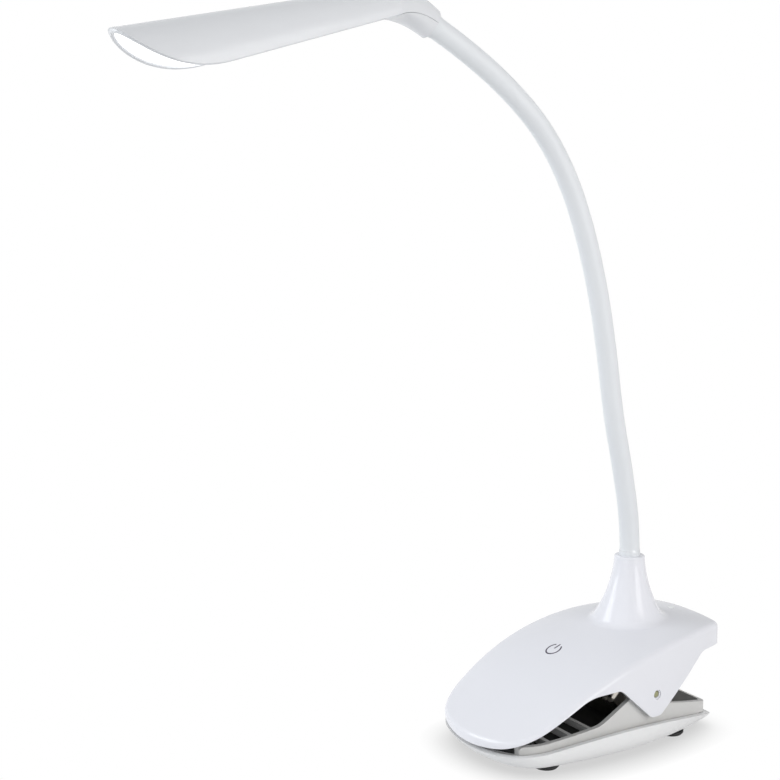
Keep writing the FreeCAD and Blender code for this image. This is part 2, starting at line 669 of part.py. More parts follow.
wire = val("wire_radius")
coil = val("coil_radius")
pin_spot = Vector(0, val("pin_y"), val("pin_z"))
seat_y = val("pin_y") + val("spring_reach")
high_seat = Vector(0, seat_y, cover_under(seat_y) - wire - val("seat_gap")) - pin_spot
low_seat = Vector(0, seat_y, rim_height(seat_y, val("deck_sink")) + wire + val("seat_gap")) - pin_spot


def seat_angle(seat, sign):
    """Angle on the coil where the wire leaves straight for a seat."""
    return math.atan2(seat.z, seat.y) + sign * math.acos(coil / seat.Length)


start_angle = seat_angle(high_seat, 1)
stop_angle = seat_angle(low_seat, -1) + 2 * math.pi * (val("coil_turns") + 1)
sweep = stop_angle - start_angle
climb = val("coil_pitch") / (2 * math.pi)


def coil_point(angle):
    x = val("coil_start") + climb * (angle - start_angle)
    return pin_spot + Vector(x, coil * math.cos(angle), coil * math.sin(angle))


def coil_way(angle):
    return Vector(climb, -coil * math.sin(angle), coil * math.cos(angle)).normalize()


quarters = int(math.ceil(sweep / (math.pi / 2)))
angles = [start_angle + sweep * k / quarters for k in range(quarters + 1)]
half_edges = []
top_start = coil_point(angles[0])
top_way = coil_way(angles[0])
arm = math.sqrt(high_seat.Length ** 2 - coil ** 2)
loop_end = top_start - top_way * arm
half_edges.append(Part.makeLine(loop_end, top_start))
for a, b in zip(angles, angles[1:]):
    half_edges += biarc(coil_point(a), coil_way(a), coil_point(b), coil_way(b))
leg = math.sqrt(low_seat.Length ** 2 - coil ** 2)
leg_end = coil_point(angles[-1]) + coil_way(angles[-1]) * leg
half_edges.append(Part.makeLine(coil_point(angles[-1]), leg_end))


def flip(vector):
    return Vector(-vector.x, vector.y, vector.z)


# The loop that joins the two arms turns in the plane of the arms.
loop_way = top_way * -1.0
loop_edges = biarc(loop_end, loop_way, flip(loop_end), flip(loop_way) * -1.0)
other_edges = [edge.mirror(Vector(0, 0, 0), ACROSS) for edge in half_edges]
spring_path = Part.Wire(Part.__sortEdges__(half_edges + loop_edges + other_edges))
edges = spring_path.OrderedEdges


def run_of(edge):
    """Start, end and starting direction of a path edge in the path's order."""
    places = [edge.FirstParameter, edge.LastParameter]
    sense = 1.0
    if edge.Orientation == "Reversed":
        places.reverse()
        sense = -1.0
    return edge.valueAt(places[0]), edge.valueAt(places[1]), edge.tangentAt(places[0]) * sense


begin, _, way = run_of(edges[0])
ring = Part.makeCircle(wire, begin, way)
faces = [Part.Face(Part.Wire(ring))]
for edge in edges:
    start, stop, way = run_of(edge)
    if isinstance(edge.Curve, Part.Circle):
        hub = edge.Curve.Center
        axle = (start - hub).cross(way)
        degrees = math.degrees(edge.Length / edge.Curve.Radius)
        faces.append(ring.revolve(hub, axle, degrees))
        ring = ring.copy()
        ring.rotate(hub, axle, degrees)
    else:
        faces.append(ring.extrude(stop - start))
        ring = ring.copy()
        ring.translate(stop - start)
faces.append(Part.Face(Part.Wire(ring)))
spring_skin = Part.makeShell(faces)
spring_skin.sewShape()
spring = Part.Solid(Part.Shell(spring_skin.Faces))
if spring.Volume < 0:
    spring.reverse()
moulded("clip_spring", spring)
wire_volume = math.pi * wire ** 2 * spring_path.Length
print("spring wire %.1f mm, volume %.1f of %.1f" % (spring_path.Length, spring.Volume, wire_volume))
marks = spring_path.discretize(Distance=0.3)
skip = int(4 * wire / 0.3) + 1
least = 1e9
for i in range(0, len(marks), 2):
    for j in range(i + skip, len(marks), 2):
        least = min(least, marks[i].distanceToPoint(marks[j]))
print("spring least gap to itself %.2f mm" % (least - 2 * wire))

# Upper shell: a thin lid with ears for the pin and a collar that flares out of its back.
shell = column(0.0, val("tail_y"), LOW, HIGH).common(back_block(0.0))
top_faces = []
for face in shell.Faces:
    if face.normalAt(*face.Surface.parameter(face.CenterOfMass)).z > 0.6:
        top_faces.append(face)
crease = []
for edge in shell.Edges:
    owners = [face for face in top_faces if any(edge.isSame(item) for item in face.Edges)]
    if len(owners) == 1:
        crease.append(edge)
shell = shell.makeFillet(val("crease_round"), crease)


def collar_radius_at(z):
    """Radius of the flared collar at a height."""
    start = math.radians(val("collar_lean"))
    turn = math.asin(math.sin(start) + (val("collar_z") - z) / val("collar_curve"))
    return val("collar_radius") + val("collar_curve") * (math.cos(start) - math.cos(turn))


collar_low = val("crest_z") - val("collar_root")
collar_mid = (val("collar_z") + collar_low) / 2
levels = (val("collar_z"), collar_mid, collar_low)
flare = [Vector(collar_radius_at(z), val("collar_y"), z) for z in levels]
top_middle = Vector(0, val("collar_y"), val("collar_z"))
low_middle = Vector(0, val("collar_y"), collar_low)
collar_half = [Part.Arc(*flare).toShape(), Part.makeLine(flare[2], low_middle),
               Part.makeLine(low_middle, top_middle), Part.makeLine(top_middle, flare[0])]
collar_face = Part.Face(Part.Wire(Part.__sortEdges__(collar_half)))
shell = shell.fuse(collar_face.revolve(low_middle, UP, 360))
foot_reach = collar_radius_at(collar_low)
rings = []
for edge in shell.Edges:
    halfway = (edge.FirstParameter + edge.LastParameter) / 2
    spots = [edge.valueAt(p) for p in (edge.FirstParameter, halfway)]
    reach = [Vector(p.x, p.y - val("collar_y"), 0).Length for p in spots]
    level = abs(edge.tangentAt(edge.FirstParameter).z) < 0.7
    if level and all(val("collar_radius") + val("collar_edge") < r < foot_reach for r in reach):
        rings.append(edge)
shell = shell.makeFillet(val("flare_radius"), rings)
rim = [edge for edge in shell.Edges if abs(edge.CenterOfMass.z - val("collar_z")) < val("pin_fit")]
shell = shell.makeFillet(val("collar_edge"), rim)
arch_front_z = val("nose_edge_z") + val("jaw_slope") * (val("arch_front_y") - val("nose_y"))
past = 4.0
side_view = [
    (val("nose_y") - past, val("nose_edge_z") - past * val("jaw_slope"), 0),
    (val("arch_front_y"), arch_front_z, val("arch_front_round")),
    (val("arch_y"), val("arch_z"), val("arch_round")),
    (val("pin_y") - val("ear_front"), val("pin_z") - val("ear_drop"), val("ear_round")),
    (val("pin_y") + val("ear_back"), val("pin_z") - val("ear_drop"), val("ear_round")),
    (val("tail_under_y"), val("tail_under_z"), val("tail_under_round")),
    (val("tail_y") + past, val("tail_under_z"), 0),
    (val("tail_y") + past, HIGH, 0),
    (val("nose_y") - past, HIGH, 0),
]
shell = shell.common(across(rounded(side_view), WIDE))
skin = val("shell_wall")
hollow = column(skin, val("tail_y") - skin, LOW, HIGH).common(back_block(skin))
shell = shell.cut(hollow)
nut_seat = Vector(0, val("collar_y"), val("nut_top_z"))
boss_height = back_z(0.0, val("collar_y"), skin) + val("root_depth") - val("nut_top_z")
shell = shell.fuse(rod(nut_seat, UP, boss_height, val("nut_boss")))
cover_spots = [(val("cover_screw_front_x"), val("cover_screw_front_y")),
               (val("cover_screw_rear_x"), val("cover_screw_rear_y"))]
cover_spots += [(-x, y) for x, y in cover_spots]
for x, y in cover_spots:
    seat = cover_over(y + val("lid_post")) + val("screw_fit")
    height = back_z(x, y, skin) + val("root_depth") - seat
    post = rod(Vector(x, y, seat), UP, height, val("lid_post"))
    post = post.common(back_block(skin / 2))
    shell = shell.fuse(post)
    hole_depth = val("screw_length") - val("cover_thickness") + val("screw_tip")
    shell = shell.cut(rod(Vector(x, y, seat), UP, hole_depth, pilot))
neck_hole = val("neck_radius") + val("neck_fit")
shell = shell.cut(rod(nut_seat - UP, UP, HIGH, neck_hole))
ear_out = half_at(val("pin_y"), 0.0)
pin_hole = val("pin_radius") + val("pin_slack")
shell = shell.cut(rod(pin_line, ACROSS, 2 * WIDE, pin_hole))
for hand in (-1, 1):
    start = Vector(hand * (ear_out - val("pin_recess")), val("pin_y"), val("pin_z"))
    shell = shell.cut(rod(start, ACROSS * hand, WIDE, val("pin_radius") + val("recess_gap")))
plug_z = val("board_z") + val("board_height")
plug_half = val("socket_width") / 2
plug_gap = val("socket_fit")
slot_depth = val("socket_length")
slot = block((-plug_half - plug_gap, plug_half + plug_gap),
             (val("tail_y") - slot_depth, val("tail_y") + slot_depth),
             (plug_z - plug_gap, plug_z + val("socket_height") + plug_gap))
shell = shell.cut(slot)
pipe_hole = val("pipe_radius") + val("pipe_fit")
pipe_low = plug_z + val("socket_height") + val("seat_gap")
shell = shell.cut(rod(Vector(0, val("pipe_y"), pipe_low), UP, HIGH, pipe_hole))
moulded("upper_shell", shell.removeSplitter())

# Upper cover: a plate that closes the lid from below, with posts for the control board.
band = [(y, z, 0) for y, z in cover_line]
band += [(y, z + val("cover_thickness"), 0) for y, z in reversed(cover_line)]
cover_inset = skin + val("cover_fit")
cover = across(rounded(band), WIDE)
cover = cover.common(column(cover_inset, val("tail_y") - cover_inset, LOW, HIGH))
cover = cover.common(back_block(skin + 1.5 * val("cover_fit")))
board_rear = val("tail_y") - skin - val("board_gap")
board_span = (board_rear - val("board_length"), board_rear)
post_inset = val("board_post_inset")
for hand in (-1, 1):
    for y in (board_span[0] + post_inset, board_span[1] - post_inset):
        foot_z = cover_under(y) + val("cover_thickness") / 2
        spot = Vector(hand * (val("board_width") / 2 - post_inset), y, foot_z)
        cover = cover.fuse(rod(spot, UP, val("board_z") - foot_z, val("board_post")))
for x, y in cover_spots:
    cover = cover.cut(rod(Vector(x, y, 0.0), UP, HIGH, pilot))
moulded("upper_cover", cover.removeSplitter())

# Upper grip pad: rubber wedge under the nose of the lid, just above the lower pad.
pad_top = val("deck_sink") - val("pad_thickness") - val("seat_gap")
upper_pad = pad_column.common(back_block(skin + val("pad_gap"))).cut(under_rim(pad_top, WIDE))
moulded("upper_grip_pad", upper_pad)

# Flat battery, lying on the cover.
battery = padded_body("battery_pack", rectangle("sizes.battery_width", "sizes.battery_length"),
                      "sizes.battery_height")
battery.Placement = Placement(Vector(0, 0, 0), Rotation(ACROSS, val("battery_tilt")))
battery_z = max(cover_over(val("battery_y") + k * val("battery_length") / 2)
                - k * math.tan(math.radians(val("battery_tilt"))) * val("battery_length") / 2
                for k in (-1.0, 0.0, 1.0))
joint_z = cover_over(0.0) + math.tan(math.radians(val("battery_tilt"))) * val("battery_y")
battery.Placement.Base = Vector(0, val("battery_y"), max(battery_z, joint_z) + val("battery_gap"))
pieces.append(battery)

# Control board at the tail, with the charging socket on it.
board = padded_body("control_board", rectangle("sizes.board_width", "sizes.board_length"),
                    "sizes.board_height")
place(board, "0", "sizes.tail_y - sizes.shell_wall - sizes.board_gap - sizes.board_length / 2",
      "sizes.board_z")
pieces.append(board)
socket = padded_body("charge_socket", rectangle("sizes.socket_width", "sizes.socket_length"),
                     "sizes.socket_height")
mouth = socket.newObject("PartDesign::Pocket", "charge_socket_mouth")
mouth_left = "sizes.socket_wall - sizes.socket_width / 2"
mouth_right = "sizes.socket_width / 2 - sizes.socket_wall"
mouth_top = "sizes.socket_height - sizes.socket_wall"
mouth.Profile = bound_sketch(socket, "XZ_Plane", [
    (mouth_left, "sizes.socket_wall"), (mouth_right, "sizes.socket_wall"),
    (mouth_right, mouth_top), (mouth_left, mouth_top)])
mouth.setExpression("Length", "sizes.socket_length / 2")
mouth.Reversed = False
socket.Tip = mouth
doc.recompute()
full = val("socket_width") * val("socket_length") * val("socket_height")
if socket.Shape.Volume > full - 1.0:
    raise RuntimeError("the charging socket's mouth was not cut")
if socket.Shape.CenterOfGravity.y > 0:
    mouth.Reversed = True
    doc.recompute()
place(socket, "0", "sizes.tail_y - sizes.socket_recess - sizes.socket_length / 2",
      "sizes.board_z + sizes.board_height")
pieces.append(socket)

# Touch plate: a disc glued under the back, square to it.
lean = math.asin((val("crest_y") - val("touch_y")) / val("crest_radius"))
touch = doc.addObject("Part::Cylinder", "touch_plate")
touch.Label = "touch_plate"
touch.setExpression("Radius", "sizes.touch_radius")
touch.setExpression("Height", "sizes.touch_thickness")
touch_depth = val("crest_radius") - skin - val("touch_gap") - val("touch_thickness")
touch.Placement = Placement(
    Vector(0, val("crest_y") - touch_depth * math.sin(lean),
           val("crest_z") - val("crest_radius") + touch_depth * math.cos(lean)),
    Rotation(ACROSS, math.degrees(lean)))
pieces.append(touch)

# Light pipe: a small clear lens with a flange under the back.
pipe_top = back_z(0.0, val("pipe_y"), 0.0) + val("pipe_proud")
pipe_under = back_z(0.0, val("pipe_y"), skin) - val("seat_gap")
pipe_spot = Vector(0, val("pipe_y"), pipe_low)
light_pipe = rod(pipe_spot, UP, pipe_top - pipe_low, val("pipe_radius"))
flange = rod(pipe_spot, UP, pipe_under - pipe_low, val("pipe_radius") + val("pipe_flange"))
light_pipe = light_pipe.fuse(flange)
moulded("charge_light_pipe", light_pipe.removeSplitter())

# Four equal screws through the cover into the lid's posts.
lid_screws = []
for hand, (x, y) in zip("abcd", cover_spots):
    screw = turned_body("cover_screw_" + hand, screw_profile)
    screw.Placement.Base = Vector(x, y, cover_under(y - val("screw_head")) - val("screw_fit"))
    lid_screws.append(screw)
together("cover_screws", lid_screws)

# Neck fitting: a tube through the collar that ends in the first ball, and the nut that clamps it.
ball_z = val("collar_z") + val("neck_proud")
ferrule_low = val("nut_top_z") - val("ferrule_end")
neck_spot = Vector(0, val("collar_y"), ferrule_low)
ferrule = rod(neck_spot, UP, ball_z - ferrule_low, val("neck_radius"))
ferrule = ferrule.fuse(Part.makeSphere(val("neck_radius"), Vector(0, val("collar_y"), ball_z)))
moulded("neck_ferrule", ferrule.removeSplitter())
nut_corners = []
for k in range(6):
    nut_corners.append(("sizes.nut_width / sqrt(3) * cos(%d deg)" % (60 * k),
                        "sizes.nut_width / sqrt(3) * sin(%d deg)" % (60 * k)))
nut = padded_body("neck_nut", nut_corners, "sizes.nut_height")
nut_hole = nut.newObject("PartDesign::Hole", "neck_nut_hole")
hole_sketch = nut.newObject("Sketcher::SketchObject", "neck_nut_hole_sketch")
hole_plane = [item for item in nut.Origin.OriginFeatures if item.Role == "XY_Plane"][0]
hole_sketch.AttachmentSupport = [(hole_plane, "")]
hole_sketch.MapMode = "FlatFace"
hole_sketch.addGeometry(Part.Circle(Vector(0, 0, 0), UP, val("neck_radius")), False)
hole_sketch.addConstraint(Sketcher.Constraint("Coincident", 0, 3, -1, 1))
hole_sketch.addConstraint(Sketcher.Constraint("Radius", 0, val("neck_radius")))
doc.recompute()
nut_hole.Profile = hole_sketch
nut_hole.DepthType = "ThroughAll"
nut_hole.setExpression("Diameter", "2 * sizes.neck_radius + sizes.neck_fit")
nut_hole.Reversed = True
nut.Tip = nut_hole
doc.recompute()
if nut.Shape.Volume > 0.8 * val("nut_width") ** 2 * val("nut_height"):
    raise RuntimeError("the nut's hole was not cut")
place(nut, "0", "sizes.collar_y", "sizes.nut_top_z - sizes.nut_height")
pieces.append(nut)

# Flexible neck: lengths of tube, each bent to one arc. The upper end of each is a ball and the lower
# end is a cup on the ball before it.
spot = Vector(0, val("collar_y"), ball_z)
lean = val("neck_lean")
cup = val("neck_radius") + val("neck_cup")
for number, turn in enumerate(LINK_TURNS, 1):
    angle = math.radians(lean)
    way = Vector(0, -math.sin(angle), math.cos(angle))
    inward = Vector(0, -math.cos(angle), -math.sin(angle))
    hub = spot + inward * (val("link_length") / math.radians(turn))
    disc = Part.Face(Part.Wire(Part.makeCircle(val("neck_radius"), spot, way)))
    last = hub + Rotation(ACROSS, turn).multVec(spot - hub)
    link = disc.revolve(hub, ACROSS, turn)
    link = link.fuse(Part.makeSphere(val("neck_radius"), last)).cut(Part.makeSphere(cup, spot))
    moulded("neck_link_%02d" % number, link.removeSplitter())
    print("neck joint %d at %.3f %.3f lean %.2f" % (number, spot.y, spot.z, lean))
    spot = last
    lean = lean + turn
print("neck joint %d at %.3f %.3f lean %.2f" % (len(LINK_TURNS) + 1, spot.y, spot.z, lean))

# Lamp head, drawn along its own axis: s runs from the rear to the tip and n stands on the opening.
# The elbow turns from the neck's direction to the head's.
tilt = val("head_tilt")
elbow_turn = math.radians(90.0 - lean + tilt)
elbow_radius = val("elbow_rise") / (1 - math.cos(elbow_turn))
hood_rear = val("hood_rear")


def at(s, n, x=0.0):
    return Vector(x, -s, n)


def elbow_spot(angle, up=0.0):
    """Point over the elbow's middle line where it points that far above the head's axis."""
    reach = elbow_radius + up
    return at(hood_rear - reach * math.sin(angle), reach * math.cos(angle) - elbow_radius)


def half_section(middle, up, half, height):
    """Half ellipse standing on a straight line across the head."""
    ahead = ACROSS.cross(up)
    shape = Matrix(half, 0, 0, middle.x, 0, height * up.y, ahead.y, middle.y,
                   0, height * up.z, ahead.z, middle.z, 0, 0, 0, 1)
    bow = Part.makeCircle(1.0, Vector(0, 0, 0), UP, 0, 180).transformGeometry(shape)
    side = Vector(half, 0, 0)
    return Part.Wire(Part.__sortEdges__([bow.Edges[0], Part.makeLine(middle - side, middle + side)]))


def hood_half(s):
    share = (s - hood_rear) / (val("hood_front") - hood_rear)
    return val("hood_half_rear") + (val("hood_half_front") - val("hood_half_rear")) * share


def hood_height(s):
    share = (s - hood_rear) / (val("hood_front") - hood_rear)
    return val("hood_height_rear") + (val("hood_height_front") - val("hood_height_rear")) * share


def hood(start, stop, inset, level=0.0):
    """Hood shape between two places along the head, inset all round."""
    wires = []
    for s in (start, stop):
        height = hood_height(s) - inset - level
        wires.append(half_section(at(s, level), UP, hood_half(s) - inset, height))
    return Part.makeLoft(wires, True, True)


def scoop(level):
    """Opening line from the rear to the tip, raised by level."""
    curve = Part.BezierCurve()
    start = at(val("scoop_start"), level)
    bend = at(val("scoop_bend"), level)
    curve.setPoles([start, bend, at(val("scoop_end"), hood_height(val("scoop_end")) + level)])
    return curve.toShape()


upper = []
lower = []
for share in (0.0, 0.33, 0.67, 1.0):
    angle = elbow_turn * (1 - share)
    up = Vector(0, math.sin(angle), math.cos(angle))
    grow = share ** val("elbow_swell")
    half = val("socket_radius") + (val("hood_half_rear") - val("socket_radius")) * grow
    rise = val("socket_radius") + (val("hood_height_rear") - val("socket_radius")) * share
    drop = val("socket_radius") * (1 - grow) + val("elbow_lip") * grow
    upper.append(half_section(elbow_spot(angle), up, half, rise))
    lower.append(half_section(elbow_spot(angle, -val("elbow_gap")), up * -1.0, half, drop))
elbow_top = Part.makeLoft(upper, True, False)
elbow_under = Part.makeLoft(lower, True, False)
mouth_spot = elbow_spot(elbow_turn)
mouth_way = Vector(0, -math.cos(elbow_turn), math.sin(elbow_turn))
ball_spot = mouth_spot - mouth_way * val("neck_proud")
bore_depth = val("head_ferrule_length") + val("neck_fit")
bore = rod(ball_spot, mouth_way, bore_depth, val("neck_radius") + val("neck_fit"))
hub = at(hood_rear, -elbow_radius)
channel_spot = elbow_spot(0.0, val("channel_rise"))
channel = Part.Face(Part.Wire(Part.makeCircle(val("neck_bore"), channel_spot, Vector(0, 1, 0))))
channel = channel.revolve(hub, ACROSS, -math.degrees(elbow_turn) * 0.9)
channel = channel.fuse(rod(channel_spot, Vector(0, -1, 0), 2 * val("neck_bore"), val("neck_bore")))

cut_curve = scoop(0.0)
tip_n = hood_height(val("scoop_end"))
cut_edges = [cut_curve]
past = val("scoop_end") + WIDE
corners = [at(val("scoop_end"), tip_n), at(past, tip_n + WIDE), at(past, LOW),
           at(val("scoop_start"), LOW), at(val("scoop_start"), 0.0)]
for a, b in zip(corners, corners[1:]):
    cut_edges.append(Part.makeLine(a, b))
scoop_cut = across(Part.Wire(Part.__sortEdges__(cut_edges)), WIDE)
cavity_rear = hood_rear + val("hood_wall")
head = hood(hood_rear, val("hood_front"), 0.0)
cavity_front = val("hood_front") + val("hood_wall")
head = head.cut(hood(cavity_rear, cavity_front, val("hood_wall"))).cut(scoop_cut)
head = head.fuse(elbow_top)
strip_top = val("strip_level") + val("strip_thickness")
strip_pilot = val("strip_screw_radius") + val("screw_fit")
for s in (val("strip_screw_rear"), val("strip_screw_front")):
    height = hood_height(s) - val("hood_wall") / 2 - strip_top
    depth = val("strip_screw_length") - val("strip_thickness") + val("screw_tip")
    head = head.fuse(rod(at(s, strip_top), UP, height, val("strip_post")))
    head = head.cut(rod(at(s, strip_top), UP, depth, strip_pilot))
head = head.cut(bore).cut(channel)
under = elbow_under.cut(bore).cut(channel)

# Diffuser: an opal strip that follows the opening just inside the hood.
low = val("diffuser_sink")
high = low + val("diffuser_thickness")
inner = hood(cavity_rear + val("diffuser_fit"), cavity_front, val("hood_wall") + val("diffuser_fit"))
top = hood_height(val("scoop_end"))
strip_edges = [scoop(low), scoop(high)]
ends = [(at(hood_rear, low), at(val("scoop_start"), low)),
        (at(hood_rear, high), at(val("scoop_start"), high)),
        (at(hood_rear, low), at(hood_rear, high)),
        (at(val("scoop_end"), top + low), at(val("scoop_end"), top + high))]
for a, b in ends:
    strip_edges.append(Part.makeLine(a, b))
diffuser = across(Part.Wire(Part.__sortEdges__(strip_edges)), WIDE).common(inner)

# LED board, its chips and its two screws.
half_strip = val("strip_width") / 2
strip = block((-half_strip, half_strip), (-val("strip_end"), -val("strip_start")),
              (val("strip_level"), strip_top))
screws = []
for s in (val("strip_screw_rear"), val("strip_screw_front")):
    strip = strip.cut(rod(at(s, 0.0), UP, WIDE, strip_pilot))
    cap = val("strip_screw_cap")
    foot = at(s, val("strip_level") - cap)
    shank = rod(foot, UP, cap + val("strip_screw_length"), val("strip_screw_radius"))
    screws.append(rod(foot, UP, cap, val("strip_screw_head")).fuse(shank).removeSplitter())
chips = []
middle = (val("strip_screw_rear") + val("strip_screw_front")) / 2
for k in range(int(val("led_count"))):
    s = middle + (k - (val("led_count") - 1) / 2) * val("led_spacing")
    for hand in (-1, 1):
        x = hand * val("led_half_row")
        chips.append(block((x - val("led_width") / 2, x + val("led_width") / 2),
                           (-s - val("led_length") / 2, -s + val("led_length") / 2),
                           (val("strip_level") - val("led_height"), val("strip_level"))))

# End fitting of the neck in the head: a short tube with a cup on the last ball.
fitting = rod(ball_spot, mouth_way, val("head_ferrule_length"), val("neck_radius"))
fitting = fitting.cut(Part.makeSphere(cup, ball_spot))

# The head is set on the last ball of the neck.
swing = Rotation(ACROSS, tilt).multiply(Rotation(Vector(0, 1, 0), -val("head_roll")))
head_place = Placement(spot - swing.multVec(ball_spot), swing)
head_pieces = [("head_shell", head), ("head_neck_cover", under), ("diffuser", diffuser),
               ("led_board", strip), ("leds", Part.makeCompound(chips)),
               ("board_screws", Part.makeCompound(screws)), ("head_ferrule", fitting)]
for label, shape in head_pieces:
    if shape.ShapeType == "Compound" and len(shape.Solids) == 1:
        shape = shape.Solids[0]
    moulded(label, shape).Placement = head_place
print("head origin %.3f %.3f tilt %.2f" % (head_place.Base.y, head_place.Base.z, tilt))

# Check every object and write one file for each piece.
doc.recompute()
for item in doc.Objects:
    if "Invalid" in item.State or "Error" in item.State:
        raise RuntimeError("%s did not build" % item.Label)
os.makedirs("parts", exist_ok=True)
for piece in pieces:
    if piece.Shape.isNull() or not piece.Shape.isValid():
        raise RuntimeError("%s has no valid shape" % piece.Label)
    box = piece.Shape.BoundBox
    print("%-20s %d solids %9.1f mm3  x %.1f %.1f  y %.1f %.1f  z %.1f %.1f" % (
        piece.Label, len(piece.Shape.Solids), piece.Shape.Volume,
        box.XMin, box.XMax, box.YMin, box.YMax, box.ZMin, box.ZMax))
    piece.Shape.exportStep("parts/%s.step" % piece.Label)
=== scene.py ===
import json
import math

import bmesh
import bpy
from mathutils import Matrix, Vector
from mathutils.bvhtree import BVHTree

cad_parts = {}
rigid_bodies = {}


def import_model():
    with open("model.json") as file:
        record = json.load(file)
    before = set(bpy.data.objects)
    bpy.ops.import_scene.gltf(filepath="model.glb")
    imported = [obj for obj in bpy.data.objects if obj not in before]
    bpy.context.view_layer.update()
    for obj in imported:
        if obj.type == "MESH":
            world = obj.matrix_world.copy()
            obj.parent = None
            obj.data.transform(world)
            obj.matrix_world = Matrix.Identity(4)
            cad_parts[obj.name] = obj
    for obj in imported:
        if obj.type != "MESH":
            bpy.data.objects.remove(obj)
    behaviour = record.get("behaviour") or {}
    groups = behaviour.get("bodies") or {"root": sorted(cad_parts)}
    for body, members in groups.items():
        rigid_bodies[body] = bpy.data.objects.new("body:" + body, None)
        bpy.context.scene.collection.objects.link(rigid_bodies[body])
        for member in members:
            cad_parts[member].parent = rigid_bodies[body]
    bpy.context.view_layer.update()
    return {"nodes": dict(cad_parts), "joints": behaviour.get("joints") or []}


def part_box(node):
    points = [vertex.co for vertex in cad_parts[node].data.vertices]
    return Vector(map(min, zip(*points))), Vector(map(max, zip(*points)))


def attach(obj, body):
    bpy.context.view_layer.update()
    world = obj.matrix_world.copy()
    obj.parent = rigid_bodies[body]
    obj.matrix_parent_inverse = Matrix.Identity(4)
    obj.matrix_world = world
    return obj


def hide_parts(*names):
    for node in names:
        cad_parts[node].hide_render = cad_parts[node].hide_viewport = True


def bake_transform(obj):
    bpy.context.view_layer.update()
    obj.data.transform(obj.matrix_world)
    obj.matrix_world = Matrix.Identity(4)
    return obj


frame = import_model()
nodes = frame["nodes"]

# Base pan: the dished tray that the lamp stands on.
# It is moulded in one piece from satin white plastic, a little greyer than the lid, with a fine
# spark-eroded skin, and four screws pull the frame down into it.
PAN_COLOUR = (0.83, 0.83, 0.835)
FLOW_PER_METRE = 55.0
FLOW_DETAIL = 8.0
FLOW_ROUGHNESS = 0.6
FLOW_SPREAD = (0.3, 0.7)
GRAIN_DETAIL = 2.0
GRAIN_STRENGTH = 0.2


def new_finish(name):
    """A new material, with its nodes, its shader and the place on the piece that patterns follow."""
    finish = bpy.data.materials.new(name)
    finish.use_nodes = True
    tree = finish.node_tree
    place = tree.nodes.new("ShaderNodeTexCoord").outputs["Object"]
    return finish, tree, tree.nodes["Principled BSDF"], place


def clouds(tree, place, per_metre, detail, roughness=0.5):
    """A soft noise with this many clouds to a metre."""
    noise = tree.nodes.new("ShaderNodeTexNoise")
    noise.inputs["Scale"].default_value = per_metre
    noise.inputs["Detail"].default_value = detail
    noise.inputs["Roughness"].default_value = roughness
    tree.links.new(place, noise.inputs["Vector"])
    return noise.outputs["Fac"]


def shade(colour, share):
    """A colour made darker or lighter by a share."""
    return [min(1.0, c * share) for c in colour]


def tint(tree, shader, pattern, colours, spread=(0.0, 1.0)):
    """Colours the surface from one colour to another along a pattern, between two levels of it."""
    ramp = tree.nodes.new("ShaderNodeValToRGB")
    for stop, level, colour in zip(ramp.color_ramp.elements, spread, colours):
        stop.position = level
        stop.color = (*colour, 1.0)
    tree.links.new(pattern, ramp.inputs["Fac"])
    tree.links.new(ramp.outputs["Color"], shader.inputs["Base Color"])


def gloss(tree, shader, pattern, roughness):
    """Varies the surface's roughness along a pattern, from one value to another."""
    levels = tree.nodes.new("ShaderNodeMapRange")
    levels.inputs["To Min"].default_value = roughness[0]
    levels.inputs["To Max"].default_value = roughness[1]
    tree.links.new(pattern, levels.inputs["Value"])
    tree.links.new(levels.outputs["Result"], shader.inputs["Roughness"])


def emboss(tree, shader, pattern, strength, height):
    """Makes the surface look raised along a pattern, by a height in metres."""
    bump = tree.nodes.new("ShaderNodeBump")
    bump.inputs["Strength"].default_value = strength
    bump.inputs["Distance"].default_value = height
    tree.links.new(pattern, bump.inputs["Height"])
    tree.links.new(bump.outputs["Normal"], shader.inputs["Normal"])


def moulded_plastic(name, colour, roughness, grain_per_metre, grain_height, mottle=0.004, shine=0.5):
    """Moulded plastic, or silicone, ink and the black shade sheet: faint flow marks, uneven gloss and a
    fine grain.
    """
    finish, tree, shader, place = new_finish(name)
    shader.inputs["Specular IOR Level"].default_value = shine
    flow = clouds(tree, place, FLOW_PER_METRE, FLOW_DETAIL, FLOW_ROUGHNESS)
    tint(tree, shader, flow, (shade(colour, 1.0 - mottle), shade(colour, 1.0 + mottle)), FLOW_SPREAD)
    gloss(tree, shader, flow, roughness)
    grain = clouds(tree, place, grain_per_metre, GRAIN_DETAIL)
    emboss(tree, shader, grain, GRAIN_STRENGTH, grain_height)
    return finish


def finish_node(node, finish):
    """Gives a carried-over solid its finish."""
    solid = nodes[node]
    solid.data.materials.clear()
    solid.data.materials.append(finish)


finish_node("base_pan", moulded_plastic("pan_plastic", PAN_COLOUR, roughness=(0.36, 0.44),
                                        grain_per_metre=2600.0, grain_height=0.00006))

# Ballast plate: a flat steel blank under the frame that keeps the leaning lamp on its feet.
# It is cropped from hot-rolled sheet, so its skin is dull and clouded.
BALLAST_COLOUR = (0.20, 0.20, 0.205)
ROLLED_DETAIL = 4.0
ROLLED_SHADES = (0.82, 1.12)
ROLLED_STRENGTH = 0.25


